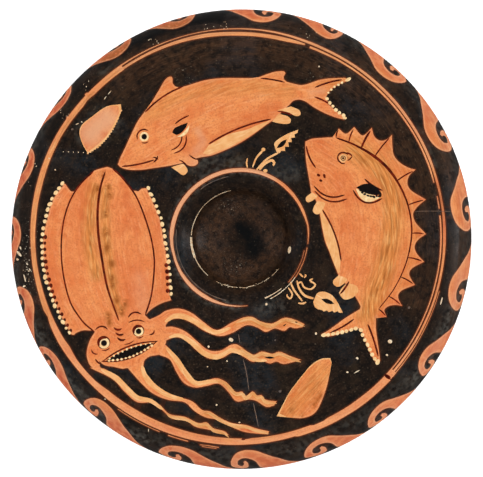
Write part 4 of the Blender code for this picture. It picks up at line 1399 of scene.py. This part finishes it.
def relief_line():
    """Thick slip drawn on in fine lines, fired dark brown: glossy and darker than any shadow on the clay."""
    material, tree, shader, place, _ = new_material("dark_relief_line")
    shader.inputs["Specular IOR Level"].default_value = 0.3
    colour = mottled(tree, place, 3, "#3A0A03", "#701E09", 0.4, 0.7)
    surfaced(tree, shader, colour, (place, 2, 0.35, 0.5), (place, 0.5, 0.1))
    return material


def thick_slip():
    """Slip filled in with a loaded brush, for pupils, mouths and gill openings: the deepest black."""
    material, tree, shader, place, _ = new_material("thick_black_slip")
    colour = mottled(tree, place, 3, "#080505", "#150C08", 0.4, 0.7)
    surfaced(tree, shader, colour, (place, 3, 0.25, 0.38), (place, 0.6, 0.1))
    return material


def bare_body():
    """Where slip has flaked or worn off: pale, chalky, matt clay."""
    material, tree, shader, place, _ = new_material("worn_pale_clay")
    colour = mottled(tree, place, 1.5, "#DCCBAE", "#C09A74", 0.35, 0.65)
    surfaced(tree, shader, colour, (place, 2, 0.8, 0.95), (place, 0.5, 0.3))
    return material


def scuffed_slip():
    """Scratched or thinly rubbed slip: a thin matt grey-brown line in the black."""
    material, tree, shader, place, _ = new_material("scuffed_grey_slip")
    colour = mottled(tree, place, 2, "#4A4340", "#6E5544", 0.35, 0.65)
    surfaced(tree, shader, colour, (place, 2, 0.6, 0.8), (place, 0.5, 0.2))
    return material


# The floor, light and camera


FLOOR_HALF = 2.5  # metres from the middle to each side


def pale_floor():
    """A plain floor that glows a little, as an overlit studio sheet does; the slip doesn't mirror it."""
    mesh = bpy.data.meshes.new("floor")
    corners = [(x * FLOOR_HALF, y * FLOOR_HALF, 0) for x, y in ((-1, -1), (1, -1), (1, 1), (-1, 1))]
    mesh.from_pydata(corners, [], [(0, 1, 2, 3)])
    floor = bpy.data.objects.new("floor", mesh)
    bpy.context.scene.collection.objects.link(floor)
    material = bpy.data.materials.new("pale_floor")
    material.use_nodes = True
    shader = material.node_tree.nodes["Principled BSDF"]
    for socket, value in (("Base Color", linear("#E6E6E6")), ("Roughness", 0.9),
                          ("Emission Color", linear("#FFFFFF")), ("Emission Strength", 0.65)):
        shader.inputs[socket].default_value = value
    mesh.materials.append(material)
    floor.visible_glossy = False


# The lights: place and size in metres, power in watts, and whether the slip mirrors it
LIGHTS = {
    "left_softbox": ((-1.4, 0.1, 1.1), (0.9, 1.4), 18.0, False),
    "right_softbox": ((1.4, 0.1, 1.1), (0.9, 1.4), 18.0, False),
    "back_softbox": ((0.1, 1.4, 1.1), (1.4, 0.9), 18.0, False),
    "front_softbox": ((0.1, -1.4, 1.1), (1.4, 0.9), 16.0, False),
    "right_strip": ((1.5, 0.1, 0.55), (0.5, 0.25), 1.2, True),
}


def soft_light(name, place, size, power, mirrored):
    """A softbox aimed at the plate."""
    data = bpy.data.lights.new(name, "AREA")
    data.shape = "RECTANGLE"
    data.size, data.size_y = size
    data.energy = power
    light = bpy.data.objects.new(name, data)
    aimed = Vector(place).to_track_quat("Z", "Y").to_matrix().to_4x4()
    light.matrix_world = Matrix.Translation(place) @ aimed
    light.visible_glossy = mirrored
    bpy.context.scene.collection.objects.link(light)


def studio(view):
    """The pale floor, a dim white sky, the lights and the camera."""
    pale_floor()
    scene = bpy.context.scene
    scene.world = bpy.data.worlds.new("studio")
    scene.world.use_nodes = True
    sky = scene.world.node_tree.nodes["Background"].inputs
    sky["Color"].default_value = linear("#FFFFFF")
    sky["Strength"].default_value = 0.11
    for name, (place, size, power, mirrored) in LIGHTS.items():
        soft_light(name, place, size, power, mirrored)
    optics = bpy.data.cameras.new("photograph")
    optics.sensor_width = SENSOR_WIDTH
    optics.lens = SENSOR_WIDTH * VIEW_DISTANCE / (IMAGE_WIDTH * MM_PER_PIXEL)
    camera = bpy.data.objects.new("photograph", optics)
    turn = Matrix((view.right, view.up, view.towards)).transposed().to_4x4()
    camera.matrix_world = Matrix.Translation(view.place * MM) @ turn
    scene.collection.objects.link(camera)
    scene.camera = camera
    scene.view_settings.view_transform = "Standard"


def main():
    """Paints the sheet, turns it into the plate and sets it in the studio."""
    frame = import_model()
    section = Section(half_section(frame["nodes"]["fish_plate"]))
    view = Camera(section.crest_height)
    draw = Drawing(section, view)
    rng = random.Random(11)
    paint_rings(draw)
    paint_waves(draw)
    for paint in (paint_cuttlefish, paint_tunny, paint_bream):
        paint(draw, rng)
    paint_shells(draw, rng)
    paint_shellfish(draw)
    paint_wear(draw, rng)
    plate = turned_plate(draw, [black_slip(), reserved_clay(), added_cream(), thick_cream(), relief_line(),
                                bare_body(), scuffed_slip(), thick_slip()])
    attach(plate, "root")
    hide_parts("fish_plate")
    studio(view)


main()
